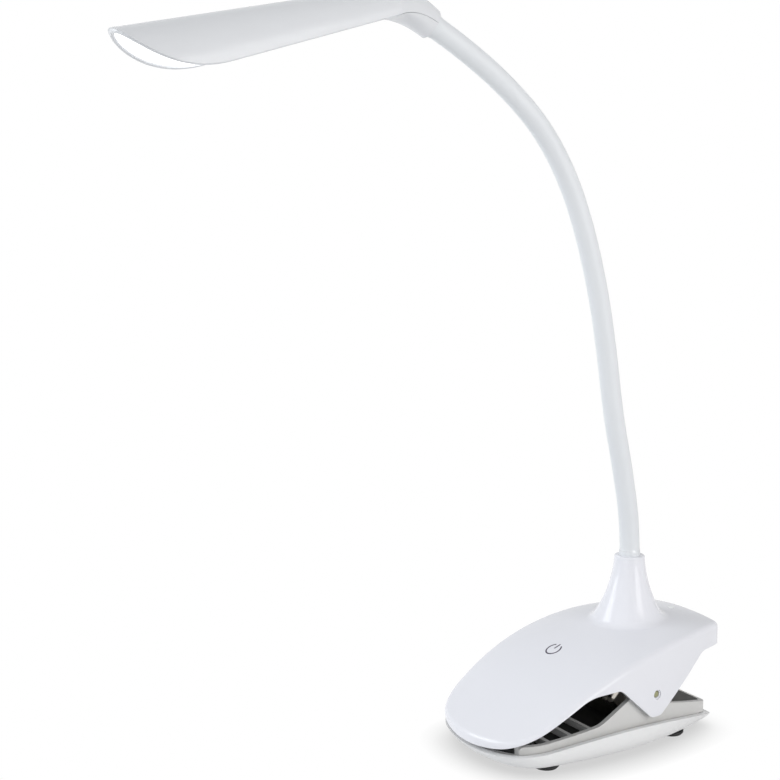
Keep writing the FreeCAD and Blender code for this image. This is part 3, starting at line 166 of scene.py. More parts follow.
def bare_metal(name, colour, roughness, streaks_per_metre, streak_height):
    """Bare metal: drawn or rolled along one way, so the colour and gloss run in fine streaks."""
    finish, tree, shader, place = new_finish(name)
    shader.inputs["Metallic"].default_value = 1.0
    stretch = tree.nodes.new("ShaderNodeMapping")
    stretch.inputs["Scale"].default_value = streaks_per_metre
    tree.links.new(place, stretch.inputs["Vector"])
    rolled = clouds(tree, stretch.outputs["Vector"], per_metre=1.0, detail=ROLLED_DETAIL)
    tint(tree, shader, rolled, [shade(colour, share) for share in ROLLED_SHADES])
    gloss(tree, shader, rolled, roughness)
    emboss(tree, shader, rolled, ROLLED_STRENGTH, streak_height)
    return finish


finish_node("ballast_plate", bare_metal("rolled_steel", BALLAST_COLOUR, roughness=(0.45, 0.65),
                                        streaks_per_metre=(300, 60, 300), streak_height=0.00005))

# Jaw frame: the inner frame of the lower jaw, with side walls, hinge humps, ribs and the tail tray.
# It is a separate matt moulding, coloured a darker and warmer grey than the lid, and drops into the pan.
FRAME_COLOUR = (0.63, 0.625, 0.615)
finish_node("jaw_frame", moulded_plastic("frame_plastic", FRAME_COLOUR, roughness=(0.42, 0.52),
                                         grain_per_metre=2200.0, grain_height=0.00008))

# Shade sheet: a thin black sheet on the frame's deck, slotted for the ribs, from pad to shroud.
# It is painted shade: it makes the hollows between the ribs look black, where shade falls.
SHEET_THICKNESS = 0.0004
SHEET_EDGE_GAP = 0.0003
SHEET_REAR_Y = 0.0085
SHEET_ROWS = 32
OFF_RIB = 0.0012
OFF_MIDDLE = 0.0150
ABOVE_DECK = 0.03
# Near-black colour of the sheet: painted shade in the hollows between the ribs.
PAINTED_SHADE_COLOUR = (0.010, 0.010, 0.0095)
UP = Vector((0.0, 0.0, 1.0))
SIDEWAYS = Vector((1.0, 0.0, 0.0))


def skin_of(node):
    """The skin of a carried-over solid, for finding where a ray meets it."""
    return BVHTree.FromObject(nodes[node], bpy.context.evaluated_depsgraph_get())


def evenly(start, end, steps):
    """Values from start to end, both counted, in equal steps."""
    return [start + (end - start) * step / steps for step in range(steps + 1)]


def wrap(mesh, rings, smooth=False):
    """Faces between rings of points, and one face over each end; gives the two end faces."""
    for near, far in zip(rings, rings[1:]):
        for k in range(len(near)):
            after = (k + 1) % len(near)
            mesh.faces.new((near[k], near[after], far[after], far[k])).smooth = smooth
    return mesh.faces.new(rings[0][::-1]), mesh.faces.new(rings[-1])


def made_piece(name, mesh, finish):
    """The piece made from a finished mesh, in its finish."""
    bmesh.ops.recalc_face_normals(mesh, faces=mesh.faces)
    data = bpy.data.meshes.new(name)
    mesh.to_mesh(data)
    mesh.free()
    data.materials.append(finish)
    piece = bpy.data.objects.new(name, data)
    bpy.context.scene.collection.objects.link(piece)
    return piece


frame_skin = skin_of("jaw_frame")


def sheet_corners(y):
    """The sheet's corners at a place along the deck, read from the frame on both sides of any rib."""
    beside = (y - OFF_RIB, y + OFF_RIB)
    low = min(frame_skin.ray_cast(Vector((OFF_MIDDLE, b, ABOVE_DECK)), -UP)[0].z for b in beside)
    high = low + SHEET_THICKNESS
    wall = min(frame_skin.ray_cast(Vector((OFF_RIB, b, high)), SIDEWAYS)[0].x for b in beside)
    half = wall - SHEET_EDGE_GAP
    return (-half, y, low), (half, y, low), (half, y, high), (-half, y, high)


sheet_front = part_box("lower_grip_pad")[1].y + SHEET_EDGE_GAP
sheet_mesh = bmesh.new()
sheet_rows = []
for y in evenly(sheet_front, SHEET_REAR_Y, SHEET_ROWS):
    sheet_rows.append([sheet_mesh.verts.new(corner) for corner in sheet_corners(y)])
wrap(sheet_mesh, sheet_rows)
# The sheet stands for shade between the ribs; its near-black finish is painted shade.
painted_shade_sheet = made_piece("painted_shade_sheet", sheet_mesh, moulded_plastic(
    "painted_shade_black", PAINTED_SHADE_COLOUR, roughness=(0.7, 0.9), grain_per_metre=1800.0, grain_height=0.0002,
    mottle=0.2))
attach(painted_shade_sheet, "lower_jaw")

# Pan screws: four small self-tapping screws driven up through the pan into the frame.
# They are zinc-plated steel, bright and a little blue.
SCREW_COLOUR = (0.66, 0.67, 0.70)
plated_steel = bare_metal("plated_screw_steel", SCREW_COLOUR, roughness=(0.22, 0.36),
                          streaks_per_metre=(900, 900, 900), streak_height=0.00002)
finish_node("pan_screws", plated_steel)

# Feet: four soft black rubber buttons pressed into pockets under the pan.
# The rubber is matt, with a fine stipple and a dusty bloom.
RUBBER_COLOUR = (0.018, 0.018, 0.019)
RUBBER_SHINE = 0.35
RUBBER_ROUGHNESS = (0.62, 0.8)
BLOOM_PER_METRE = 160.0
BLOOM_DETAIL = 5.0
BLOOM_SPREAD = (0.35, 0.8)
BLOOM_SHADE = 1.8
STIPPLE_STRENGTH = 0.35
STIPPLE_HEIGHT = 0.00008


def black_rubber(name, stipple_per_metre):
    """Moulded rubber: nearly black, dull, with a stippled skin and a pale bloom in patches."""
    finish, tree, shader, place = new_finish(name)
    shader.inputs["Specular IOR Level"].default_value = RUBBER_SHINE
    bloom = clouds(tree, place, BLOOM_PER_METRE, BLOOM_DETAIL)
    tint(tree, shader, bloom, (RUBBER_COLOUR, shade(RUBBER_COLOUR, BLOOM_SHADE)), BLOOM_SPREAD)
    gloss(tree, shader, bloom, RUBBER_ROUGHNESS)
    stipple = tree.nodes.new("ShaderNodeTexVoronoi")
    stipple.inputs["Scale"].default_value = stipple_per_metre
    tree.links.new(place, stipple.inputs["Vector"])
    emboss(tree, shader, stipple.outputs["Distance"], STIPPLE_STRENGTH, STIPPLE_HEIGHT)
    return finish


foot_rubber = black_rubber("foot_rubber", stipple_per_metre=1500.0)
for foot in ("foot_front_left", "foot_front_right", "foot_rear_left", "foot_rear_right"):
    finish_node(foot, foot_rubber)

# Grip pads: two strips of black rubber, one on each jaw behind the nose, glued into shallow seats.
# They are the same rubber as the feet with a coarser stipple for grip.
pad_rubber = black_rubber("grip_pad_rubber", stipple_per_metre=900.0)
for pad in ("lower_grip_pad", "upper_grip_pad"):
    finish_node(pad, pad_rubber)

# Hinge pin: a drawn steel pin through the ears of the lid and the humps of the frame.
# Its end shows in the ear, with a warm yellow passivated skin.
PIN_COLOUR = (0.34, 0.34, 0.20)
finish_node("hinge_pin", bare_metal("passivated_pin_steel", PIN_COLOUR, roughness=(0.25, 0.4),
                                    streaks_per_metre=(200, 2500, 2500), streak_height=0.00001))

# Clip spring: one length of bright drawn wire, wound round the pin on both sides of an arm under the lid.
# The wire is a copy of the spring's solid, shown in its place, and stays where it is made.
SPRING_COLOUR = (0.62, 0.61, 0.60)
spring_wire = bpy.data.objects.new("spring_wire", nodes["clip_spring"].data.copy())
spring_wire.data.materials.clear()
spring_wire.data.materials.append(bare_metal(
    "spring_wire", SPRING_COLOUR, roughness=(0.16, 0.3), streaks_per_metre=(1800, 1800, 1800),
    streak_height=0.00001))
bpy.context.scene.collection.objects.link(spring_wire)
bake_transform(spring_wire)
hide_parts("clip_spring")

# Upper shell: the lid, with its ears, its tail wall and the flared collar that the neck stands in.
# It is one moulding in bluish white plastic, polished in the tool to a soft gloss.
SHELL_COLOUR = (0.812, 0.815, 0.861)
finish_node("upper_shell", moulded_plastic(
    "shell_plastic", SHELL_COLOUR, roughness=(0.13, 0.18), grain_per_metre=5200.0, grain_height=0.00001,
    mottle=0.003, shine=0.3))

# Upper cover: the plate that closes the lid from below and carries the battery.
# It is coloured nearly black, which darkens the space between the jaws.
COVER_COLOUR = (0.022, 0.021, 0.020)
finish_node("upper_cover", moulded_plastic(
    "cover_plastic", COVER_COLOUR, roughness=(0.44, 0.54), grain_per_metre=2200.0, grain_height=0.00008,
    mottle=0.06))

# Spring shroud: a box of bright plated steel sheet under the cover, in front of the spring.
# It hangs from the cover with the lid; it mirrors the dark mouth, and its round corners catch the light.
SHROUD_HALF_WIDTH = 0.0231
SHROUD_FRONT_Y = -0.0008
SHROUD_REAR_Y = 0.0080
SHROUD_LOW_Z = 0.0137
SHROUD_CORNER = 0.0050
SHROUD_EDGE = 0.0005
SHROUD_TAPER = 0.0034
SHROUD_COLOUR = (0.60, 0.57, 0.52)
CORNER_STEPS = 16
SHARP_ANGLE = math.radians(40.0)

cover_skin = skin_of("upper_cover")
shroud_plan = [(SHROUD_HALF_WIDTH, SHROUD_REAR_Y)]
for angle in evenly(0.0, math.pi / 2, CORNER_STEPS):
    shroud_plan.append((SHROUD_HALF_WIDTH - SHROUD_CORNER * (1 - math.cos(angle)),
                        SHROUD_FRONT_Y + SHROUD_CORNER * (1 - math.sin(angle))))
shroud_plan += [(-x, y) for x, y in reversed(shroud_plan)]


def under_cover(x, y):
    """Height of the cover's underside over a place."""
    return cover_skin.ray_cast(Vector((x, y, 0.0)), UP)[0].z


def shroud_outline(inset):
    """The shroud's plan, drawn in by this much at its front and sides."""
    return [(x - math.copysign(inset, x), min(y + inset, SHROUD_REAR_Y)) for x, y in shroud_plan]


shroud_foot = [(x, y, SHROUD_LOW_Z) for x, y in shroud_outline(SHROUD_EDGE)]
shroud_walls = [(x, y, SHROUD_LOW_Z + SHROUD_EDGE) for x, y in shroud_outline(0.0)]
shroud_top = [(x, y, under_cover(x, y)) for x, y in shroud_outline(SHROUD_TAPER)]
shroud_mesh = bmesh.new()
shroud_rings = []
for level in (shroud_foot, shroud_walls, shroud_top):
    shroud_rings.append([shroud_mesh.verts.new(spot) for spot in level])
wrap(shroud_mesh, shroud_rings, smooth=True)
for edge in shroud_mesh.edges:
    if edge.is_manifold and edge.calc_face_angle() > SHARP_ANGLE:
        edge.smooth = False
spring_shroud = made_piece("spring_shroud", shroud_mesh, bare_metal(
    "bright_plated_sheet", SHROUD_COLOUR, roughness=(0.08, 0.16), streaks_per_metre=(900, 900, 40),
    streak_height=0.000003))
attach(spring_shroud, "upper_jaw")

# Cover screws: four self-tapping screws through the cover into posts in the lid.
# They are the same plated screws as those in the pan.
finish_node("cover_screws", plated_steel)

# Battery pack: a flat lithium pouch in crimped aluminium foil, held under the lid.
# The foil is dull silver and slightly crinkled.
FOIL_COLOUR = (0.60, 0.61, 0.63)
finish_node("battery_pack", bare_metal("pouch_foil", FOIL_COLOUR, roughness=(0.32, 0.5),
                                       streaks_per_metre=(260, 260, 260), streak_height=0.0003))

# Control board: a small glass-fibre board at the tail, with varnished copper tracks.
# The varnish is green and the tracks show through it a shade lighter.
BOARD_COLOUR = (0.012, 0.10, 0.035)
BOARD_SHADE = 1.15
BOARD_ROUGHNESS = 0.32
TRACK_COLOUR = (0.03, 0.19, 0.07)
TRACKS_PER_METRE = 90.0
TRACK_SIZE = 0.035
board_varnish, board_tree, board_shader, board_place = new_finish("board_varnish")
board_shader.inputs["Roughness"].default_value = BOARD_ROUGHNESS
tracks = board_tree.nodes.new("ShaderNodeTexBrick")
tracks.inputs["Scale"].default_value = TRACKS_PER_METRE
tracks.inputs["Mortar Size"].default_value = TRACK_SIZE
tracks.inputs["Color1"].default_value = (*BOARD_COLOUR, 1.0)
tracks.inputs["Color2"].default_value = (*shade(BOARD_COLOUR, BOARD_SHADE), 1.0)
tracks.inputs["Mortar"].default_value = (*TRACK_COLOUR, 1.0)
board_tree.links.new(board_place, tracks.inputs["Vector"])
board_tree.links.new(tracks.outputs["Color"], board_shader.inputs["Base Color"])
finish_node("control_board", board_varnish)

# Charge socket: a folded steel shell soldered to the board, open through the tail wall.
# It is tinned, so it is paler and softer than the screws.
SOCKET_COLOUR = (0.70, 0.70, 0.69)
finish_node("charge_socket", bare_metal("tinned_socket_steel", SOCKET_COLOUR, roughness=(0.28, 0.42),
                                        streaks_per_metre=(700, 700, 90), streak_height=0.00001))

# Touch plate: a thin copper disc glued under the mark on the lid, which senses a finger.
# The copper is bare and faintly tarnished.
COPPER_COLOUR = (0.72, 0.40, 0.26)
finish_node("touch_plate", bare_metal("bare_copper", COPPER_COLOUR, roughness=(0.3, 0.5),
                                      streaks_per_metre=(400, 400, 400), streak_height=0.00001))

# Touch mark: the usual power sign, a ring open towards the neck with a bar in the opening.
# It is pad-printed in dark grey ink, so it lies on the lid's skin and follows its curve.
MARK_Y = -0.0150
MARK_RADIUS = 0.0032
MARK_LINE = 0.0006
MARK_OPENING = math.radians(32.0)
MARK_RING_STEPS = 48
BAR_REACH = (MARK_RADIUS * 0.12, MARK_RADIUS * 1.12)
BAR_STEPS = 6
INK_HEIGHT = 0.00005
INK_COLOUR = (0.045, 0.035, 0.065)
ABOVE_LID = 0.2

lid_skin = skin_of("upper_shell")


def on_lid(x, y, height):
    """The point above (x, y) that lies this height over the lid's skin."""
    spot, normal = lid_skin.ray_cast(Vector((x, y, ABOVE_LID)), -UP)[:2]
    return spot + normal * height


def printed_line(mesh, centres, sides):
    """A closed band of ink along a line of centres, each with the way to the band's sides."""
    rows = []
    for (x, y), (side_x, side_y) in zip(centres, sides):
        left = (x + side_x * MARK_LINE / 2, y + side_y * MARK_LINE / 2)
        right = (x - side_x * MARK_LINE / 2, y - side_y * MARK_LINE / 2)
        row = [on_lid(*left, INK_HEIGHT), on_lid(*right, INK_HEIGHT)]
        row += [on_lid(*right, -INK_HEIGHT), on_lid(*left, -INK_HEIGHT)]
        rows.append([mesh.verts.new(spot) for spot in row])
    wrap(mesh, rows)


mark_mesh = bmesh.new()
ring_sides = []
for angle in evenly(MARK_OPENING, 2 * math.pi - MARK_OPENING, MARK_RING_STEPS):
    ring_sides.append((math.sin(angle), math.cos(angle)))
ring_centres = [(MARK_RADIUS * x, MARK_Y + MARK_RADIUS * y) for x, y in ring_sides]
printed_line(mark_mesh, ring_centres, ring_sides)
bar_centres = [(0.0, MARK_Y + reach) for reach in evenly(*BAR_REACH, BAR_STEPS)]
printed_line(mark_mesh, bar_centres, [(1.0, 0.0)] * len(bar_centres))
touch_mark = made_piece("touch_mark", mark_mesh, moulded_plastic(
    "mark_ink", INK_COLOUR, roughness=(0.45, 0.6), grain_per_metre=4000.0, grain_height=0.00001,
    mottle=0.1))
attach(touch_mark, "upper_jaw")

# Charge light: a small clear lens in the lid behind the collar that shows the charging light.
# It is moulded in clear plastic and looks milky from the white plastic round it.
LENS_COLOUR = (0.93, 0.95, 0.95)
finish_node("charge_light_pipe", moulded_plastic(
    "clear_lens_plastic", LENS_COLOUR, roughness=(0.08, 0.14),
    grain_per_metre=900.0, grain_height=0.00001))

# Neck ferrule and nut: the threaded end of the neck, pulled down into the collar by a hexagon nut.
# Both are turned steel, zinc plated.
FERRULE_COLOUR = (0.64, 0.64, 0.66)
turned_steel = bare_metal("turned_plated_steel", FERRULE_COLOUR, roughness=(0.24, 0.38),
                          streaks_per_metre=(250, 250, 2500), streak_height=0.00001)
finish_node("neck_ferrule", turned_steel)
finish_node("neck_nut", turned_steel)

# Flexible neck: a wound steel tube in a smooth white silicone sleeve, which stays where it is bent.
# The sleeve is drawn over the whole neck, in pieces that meet halfway along each link; the pieces stay
# where they are made.
# For one joint the ends of the bend are listed from the head's side.
SLEEVE_UNDER_LINK = 0.00022
SLEEVE_OVER_FITTING = 0.00006
SLEEVE_STRETCH = 0.0018
SLEEVE_SIDES = 40
SLEEVE_RINGS = 14
SLEEVE_IN_COLLAR = 0.004
SLEEVE_IN_SOCKET = 0.004
BLEND_HALF = 0.011
BENT_FROM_HEAD_SIDE = ("neck_nod_09",)
LEAST_TURN = 1e-5
SLEEVE_COLOUR = (0.745, 0.765, 0.79)
SLEEVE_SHEEN = 0.12
sleeve_skin = moulded_plastic("sleeve_silicone", SLEEVE_COLOUR, roughness=(0.38, 0.46),
                              grain_per_metre=2600.0, grain_height=0.000006)
sleeve_skin.node_tree.nodes["Principled BSDF"].inputs["Sheen Weight"].default_value = SLEEVE_SHEEN

neck_joints = [joint for joint in frame["joints"] if joint["name"].startswith("neck_")]
pivots = [Vector(joint["pos_m"]) for joint in neck_joints]
first_low, first_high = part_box("neck_link_01")
sleeve_radius = (first_high.x - first_low.x) / 2 - SLEEVE_UNDER_LINK


def way_of(lean):
    """The way that the neck points where it leans forward by this angle."""
    return Vector((0.0, -math.sin(lean), math.cos(lean)))


# The lean at each pivot: the axes of the sway joints give theirs, and the even arcs give the nod joints'.
axes = [Vector(joint["axis"]) for joint in neck_joints]
leans = [math.atan2(axis.z, axis.y) for axis in axes]
for number, joint in enumerate(neck_joints):
    if joint["name"].startswith("neck_nod"):
        last = number + 1 == len(pivots)
        beside = number - 1 if last else number + 1
        chord = pivots[number] - pivots[beside] if last else pivots[beside] - pivots[number]
        leans[number] = 2 * math.atan2(-chord.y, chord.z) - leans[beside]
lowest_spot = pivots[0] - way_of(leans[0]) * SLEEVE_IN_COLLAR
last_spot = pivots[-1] + way_of(leans[-1]) * SLEEVE_IN_SOCKET


def sleeve_radius_at(spot):
    """Radius of the sleeve, which is stretched over the fitting at either end of the neck."""
    off = min((spot - fitting).length for fitting in (lowest_spot, pivots[0], pivots[-1], last_spot))
    stretched = max(0.0, 1.0 - off / SLEEVE_STRETCH)
    return sleeve_radius + (SLEEVE_UNDER_LINK + SLEEVE_OVER_FITTING) * stretched


def arc_path(number, start, end):
    """Points and leans along the arc from a pivot to the next, from one share of it to another."""
    low, high = pivots[number], pivots[number + 1]
    turn = leans[number + 1] - leans[number]
    path = []
    for share in evenly(start, end, SLEEVE_RINGS):
        if abs(turn) < LEAST_TURN:
            spot = low + (high - low) * share
        else:
            reach = (high - low).length * math.sin(turn * share / 2) / math.sin(turn / 2)
            spot = low + way_of(leans[number] + turn * share / 2) * reach
        path.append((spot, leans[number] + turn * share))
    return path


def ring_of_points(mesh, spot, radius, way_a, way_b, sides):
    """A ring of points about a spot, in the plane of two square ways."""
    ring = []
    for side in range(sides):
        angle = 2 * math.pi * side / sides
        outward = way_a * math.cos(angle) + way_b * math.sin(angle)
        ring.append(mesh.verts.new(spot + outward * radius))
    return ring


def sleeve_piece(name, path):
    """A closed length of sleeve along a path of points and leans, with square ends."""
    mesh = bmesh.new()
    rings = []
    for spot, lean in path:
        behind = Vector((0.0, math.cos(lean), math.sin(lean)))
        rings.append(ring_of_points(mesh, spot, sleeve_radius_at(spot), SIDEWAYS, behind, SLEEVE_SIDES))
    for end in wrap(mesh, rings, smooth=True):
        for edge in end.edges:
            edge.smooth = False
    return made_piece(name, mesh, sleeve_skin)


for number, joint in enumerate(neck_joints):
    first = number == 0
    last = number + 1 == len(pivots)
    path = [(lowest_spot, leans[0]), (pivots[0], leans[0])] if first else arc_path(number - 1, 0.5, 1.0)
    path += [(last_spot, leans[-1])] if last else arc_path(number, 0.0, 0.5)[1:]
    piece = sleeve_piece(f"neck_sleeve_{number + 1:02d}", path)
    half_bend = way_of(leans[number]) * BLEND_HALF
    ends = [(joint["parent"], pivots[number] - half_bend), (joint["child"], pivots[number] + half_bend)]
    if joint["name"] in BENT_FROM_HEAD_SIDE:
        ends.reverse()
    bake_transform(piece)
    if not last:
        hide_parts(f"neck_link_{number + 1:02d}")

# Lamp head: a trough-shaped hood with an elbow that takes the neck, and the half that closes it below.
# Both are moulded in satin white plastic, a little greyer than the lid; the neck's end fitting is steel.
HEAD_COLOUR = (0.745, 0.755, 0.78)
head_plastic = moulded_plastic("head_plastic", HEAD_COLOUR, roughness=(0.20, 0.27),
                               grain_per_metre=5200.0, grain_height=0.00001, mottle=0.003, shine=0.3)
finish_node("head_shell", head_plastic)
finish_node("head_neck_cover", head_plastic)
finish_node("head_ferrule", turned_steel)

# Hood lip: the rolled edge round the hood's opening, slim along the sides and thickest at the tip.
# It is moulded with the hood in the same plastic. The head's sizes here are those of its solid, measured
# along the head from its origin and up from the opening.
HEAD_ORIGIN = Vector((0.0, -0.109294, 0.291991))
HEAD_TILT = math.radians(17.0)
HEAD_ROLL = math.radians(2.5)
HOOD_REAR = -0.0140
HOOD_FRONT = 0.0998
HOOD_HALF = (0.0105, 0.0147)
HOOD_HEIGHT = (0.0108, 0.0205)
SCOOP_START = 0.0582
SCOOP_BEND = 0.0805
SCOOP_END = 0.0927
LIP_START = -0.0060
LIP_RADIUS = (0.00075, 0.00115)
LIP_PROUD = 0.00015
LIP_BACK = 0.5
LIP_SIDES = 14
STRAIGHT_STEPS = 10
SCOOP_STEPS = 28
TIP_HALVINGS = 40


def hood_size(sizes, along):
    """Half width or height of the hood at a place along it."""
    return sizes[0] + (sizes[1] - sizes[0]) * (along - HOOD_REAR) / (HOOD_FRONT - HOOD_REAR)


def lip_middle(along, up, radius):
    """Middle of the lip at a place along the head and a height, and the hood's height there."""
    half = hood_size(HOOD_HALF, along) - radius + LIP_PROUD
    height = hood_size(HOOD_HEIGHT, along) - radius + LIP_PROUD
    return Vector((half * math.sqrt(max(0.0, 1.0 - (up / height) ** 2)), -along, up)), height


def scoop_lip(t):
    """Middle and radius of the lip where the opening turns up, and its height over the hood's top.

    t runs from the straight side to the tip.
    """
    radius = LIP_RADIUS[0] + (LIP_RADIUS[1] - LIP_RADIUS[0]) * t * t
    rise = hood_size(HOOD_HEIGHT, SCOOP_END)
    way_along = 2 * (1 - t) * (SCOOP_BEND - SCOOP_START) + 2 * t * (SCOOP_END - SCOOP_BEND)
    way_up = 2 * t * rise
    back = LIP_BACK * radius / math.hypot(way_along, way_up)
    along = (1 - t) ** 2 * SCOOP_START + 2 * t * (1 - t) * SCOOP_BEND + t * t * SCOOP_END - back * way_up
    up = t * t * rise + back * way_along
    spot, height = lip_middle(along, up, radius)
    return spot, radius, up - height


tip_low, tip_high = 0.0, 1.0
for halving in range(TIP_HALVINGS):
    middle = (tip_low + tip_high) / 2
    if scoop_lip(middle)[2] < 0.0:
        tip_low = middle
    else:
        tip_high = middle
half_lip = []
for along in evenly(LIP_START, SCOOP_START, STRAIGHT_STEPS)[:-1]:
    half_lip.append((lip_middle(along, LIP_BACK * LIP_RADIUS[0], LIP_RADIUS[0])[0], LIP_RADIUS[0]))
for share in evenly(0.0, 1.0, SCOOP_STEPS):
    half_lip.append(scoop_lip(tip_low * (1 - (1 - share) ** 2))[:2])
other_half = [(Vector((-spot.x, spot.y, spot.z)), radius) for spot, radius in half_lip[-2::-1]]
head_turn = Matrix.Rotation(HEAD_TILT, 3, "X") @ Matrix.Rotation(HEAD_ROLL, 3, "Y")
lip_line = [(HEAD_ORIGIN + head_turn @ spot, radius) for spot, radius in half_lip + other_half]

lip_mesh = bmesh.new()
lip_rings = []
side_way = head_turn @ SIDEWAYS
for number, (spot, radius) in enumerate(lip_line):
    before = lip_line[max(0, number - 1)][0]
    after = lip_line[min(len(lip_line) - 1, number + 1)][0]
    ahead = (after - before).normalized()
    side_way = (side_way - ahead * side_way.dot(ahead)).normalized()
    lip_rings.append(ring_of_points(lip_mesh, spot, radius, side_way, ahead.cross(side_way), LIP_SIDES))
wrap(lip_mesh, lip_rings, smooth=True)
hood_lip = made_piece("hood_lip", lip_mesh, head_plastic)
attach(hood_lip, "lamp_head")

# Light strip: a white-coated aluminium board with yellow chips along it, held by two screws in the hood.
# The coating is matt and the chips are capped with phosphor.
COATING_COLOUR = (0.85, 0.85, 0.84)
PHOSPHOR_COLOUR = (0.85, 0.72, 0.22)
finish_node("led_board", moulded_plastic("board_coating", COATING_COLOUR, roughness=(0.5, 0.6),
                                         grain_per_metre=1200.0, grain_height=0.00002))
finish_node("leds", moulded_plastic("phosphor_cap", PHOSPHOR_COLOUR, roughness=(0.4, 0.55),
                                    grain_per_metre=5000.0, grain_height=0.00002, mottle=0.05))
finish_node("board_screws", plated_steel)

# Diffuser: an opal strip that clips into the hood's opening and glows evenly while the lamp is on.
# It is milky plastic, lit from behind, so it reads as clean white.
OPAL_COLOUR = (0.95, 0.95, 0.95)
GLOW_COLOUR = (1.0, 1.0, 1.0)
GLOW_STRENGTH = 1.15
opal = moulded_plastic("lit_opal_plastic", OPAL_COLOUR, roughness=(0.5, 0.6), grain_per_metre=900.0,
                       grain_height=0.00002)
opal_shader = opal.node_tree.nodes["Principled BSDF"]
opal_shader.inputs["Emission Color"].default_value = (*GLOW_COLOUR, 1.0)
opal_shader.inputs["Emission Strength"].default_value = GLOW_STRENGTH
finish_node("diffuser", opal)

# Floor: a plain sheet of white paper under the lamp.
# To the camera and in mirrors it glows white, with a painted shadow close under the clip where its parts
# stand near; to light that spreads it is plain diffuse paper.
FLOOR_SIZE = 8.0
FLOOR_COLOUR = (0.86, 0.86, 0.86)
SHADOW_REACH = 0.014
SHADOW_DEEP = 0.20
SHADOW_LEVEL = 0.63


def seen_or_spread(tree, seen, spread, output):
    """Shows one shader to the camera, mirrors and glass, and the other to light that spreads."""
    path = tree.nodes.new("ShaderNodeLightPath")
    mirrored = tree.nodes.new("ShaderNodeMath")
    mirrored.operation = "MAXIMUM"
    tree.links.new(path.outputs["Is Camera Ray"], mirrored.inputs[0])
    tree.links.new(path.outputs["Is Glossy Ray"], mirrored.inputs[1])
    directly = tree.nodes.new("ShaderNodeMath")
    directly.operation = "MAXIMUM"
    tree.links.new(mirrored.outputs[0], directly.inputs[0])
    tree.links.new(path.outputs["Is Transmission Ray"], directly.inputs[1])
    mix = tree.nodes.new("ShaderNodeMixShader")
    tree.links.new(directly.outputs[0], mix.inputs["Fac"])
    tree.links.new(spread.outputs[0], mix.inputs[1])
    tree.links.new(seen.outputs[0], mix.inputs[2])
    tree.links.new(mix.outputs[0], output.inputs["Surface"])


bpy.ops.mesh.primitive_plane_add(size=FLOOR_SIZE, location=(0.0, 0.0, 0.0))
floor = bpy.context.object
floor.name = "floor"
white_paper = bpy.data.materials.new("white_paper")
white_paper.use_nodes = True
paper_tree = white_paper.node_tree
paper_tree.nodes.clear()
paper_diffuse = paper_tree.nodes.new("ShaderNodeBsdfDiffuse")
paper_diffuse.inputs["Color"].default_value = (*FLOOR_COLOUR, 1.0)
# Painted shadow: the paper's glow dims where parts of the clip stand within the shadow's reach.
painted_shadow_ao = paper_tree.nodes.new("ShaderNodeAmbientOcclusion")
painted_shadow_ao.inputs["Distance"].default_value = SHADOW_REACH
painted_shadow_level = paper_tree.nodes.new("ShaderNodeMapRange")
painted_shadow_level.inputs["From Min"].default_value = SHADOW_DEEP
painted_shadow_level.inputs["To Min"].default_value = SHADOW_LEVEL
paper_tree.links.new(painted_shadow_ao.outputs["AO"], painted_shadow_level.inputs["Value"])
paper_glow_with_painted_shadow = paper_tree.nodes.new("ShaderNodeEmission")
paper_tree.links.new(painted_shadow_level.outputs["Result"], paper_glow_with_painted_shadow.inputs["Strength"])
paper_out = paper_tree.nodes.new("ShaderNodeOutputMaterial")
seen_or_spread(paper_tree, paper_glow_with_painted_shadow, paper_diffuse, paper_out)
floor.data.materials.append(white_paper)

# Studio light: a white room, brighter in front, above and on the near side, with two soft boxes.
# One box stands before the nose on the far side and one beside the clip on the near side, so the neck
# and collar get two streaks.
ROOM_DARK = 0.21
ROOM_BRIGHT = 0.71
ROOM_FRONT = (0.383, -0.800, 0.462)
ROOM_SPREAD = (-0.27, 0.80)
ROOM_COLOUR = (0.965, 0.985, 1.0)
BOX_SIZE = (0.5, 0.7)
world = bpy.data.worlds.new("studio")
bpy.context.scene.world = world
world.use_nodes = True
room_tree = world.node_tree
room_tree.nodes.clear()
room_way = room_tree.nodes.new("ShaderNodeTexCoord")
room_facing = room_tree.nodes.new("ShaderNodeVectorMath")
room_facing.operation = "DOT_PRODUCT"
room_facing.inputs[1].default_value = ROOM_FRONT
room_tree.links.new(room_way.outputs["Generated"], room_facing.inputs[0])
room_level = room_tree.nodes.new("ShaderNodeMapRange")
room_level.interpolation_type = "SMOOTHSTEP"
room_level.inputs["From Min"].default_value = ROOM_SPREAD[0]
room_level.inputs["From Max"].default_value = ROOM_SPREAD[1]
room_level.inputs["To Min"].default_value = ROOM_DARK
room_level.inputs["To Max"].default_value = ROOM_BRIGHT
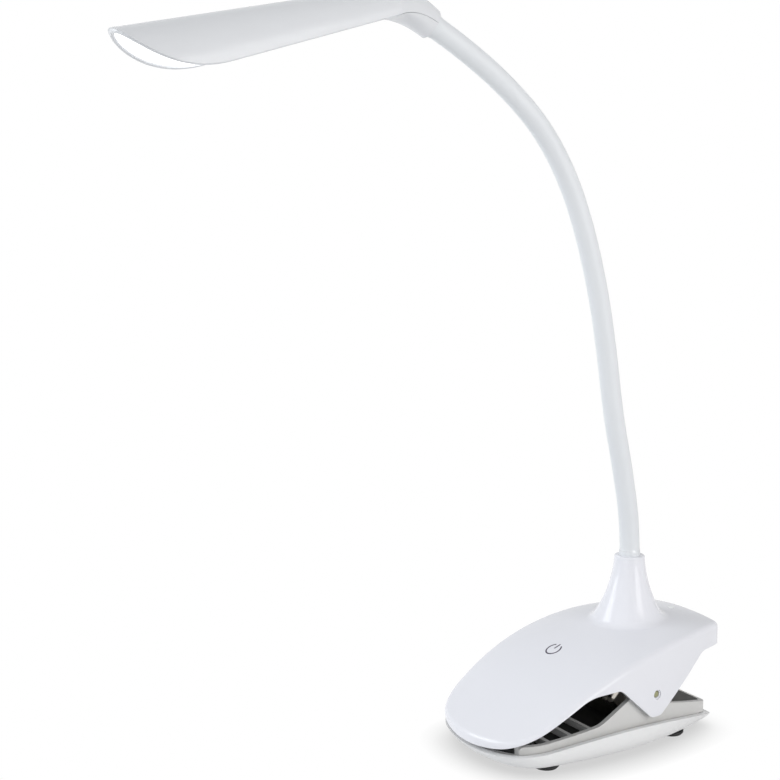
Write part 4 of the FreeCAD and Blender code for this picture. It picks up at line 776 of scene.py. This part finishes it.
room_tree.links.new(room_facing.outputs["Value"], room_level.inputs["Value"])
room_fill = room_tree.nodes.new("ShaderNodeBackground")
room_fill.inputs["Color"].default_value = (*ROOM_COLOUR, 1.0)
room_tree.links.new(room_level.outputs["Result"], room_fill.inputs["Strength"])
room_white = room_tree.nodes.new("ShaderNodeBackground")
room_white.inputs["Color"].default_value = (1.0, 1.0, 1.0, 1.0)
room_white.inputs["Strength"].default_value = 1.0
room_out = room_tree.nodes.new("ShaderNodeOutputWorld")
seen_or_spread(room_tree, room_white, room_fill, room_out)


def soft_box(name, power, colour, place, target):
    """An upright lamp at a place, turned to a target."""
    lamp = bpy.data.lights.new(name, "AREA")
    lamp.shape = "RECTANGLE"
    lamp.size, lamp.size_y = BOX_SIZE
    lamp.energy = power
    lamp.color = colour
    box = bpy.data.objects.new(name, lamp)
    box.location = place
    box.rotation_euler = (Vector(target) - Vector(place)).to_track_quat("-Z", "Y").to_euler()
    bpy.context.scene.collection.objects.link(box)


soft_box("soft_box_front", power=5.8, colour=(0.955, 0.98, 1.0),
         place=(-0.61, -0.87, 0.48), target=(0.0, -0.03, 0.12))
soft_box("soft_box_side", power=5.2, colour=(1.0, 0.985, 0.965),
         place=(1.03, 0.24, 0.40), target=(0.0, 0.0, 0.12))

# Camera: at the photograph's viewing angle, a little above the clip and to its front left.
# Its place and lens were fitted to the lamp's outline in the photograph.
CAMERA_PLACE = (0.44373, -0.35151, 0.21697)
CAMERA_PITCH = math.radians(83.19)
CAMERA_HEADING = math.radians(60.0)
CAMERA_LENS = 61.85
CAMERA_SENSOR = 36.0
camera_data = bpy.data.cameras.new("camera")
camera_data.lens = CAMERA_LENS
camera_data.sensor_width = CAMERA_SENSOR
camera = bpy.data.objects.new("camera", camera_data)
camera.location = CAMERA_PLACE
camera.rotation_euler = (CAMERA_PITCH, 0.0, CAMERA_HEADING)
bpy.context.scene.collection.objects.link(camera)
bpy.context.scene.camera = camera
bpy.context.scene.view_settings.view_transform = "Standard"
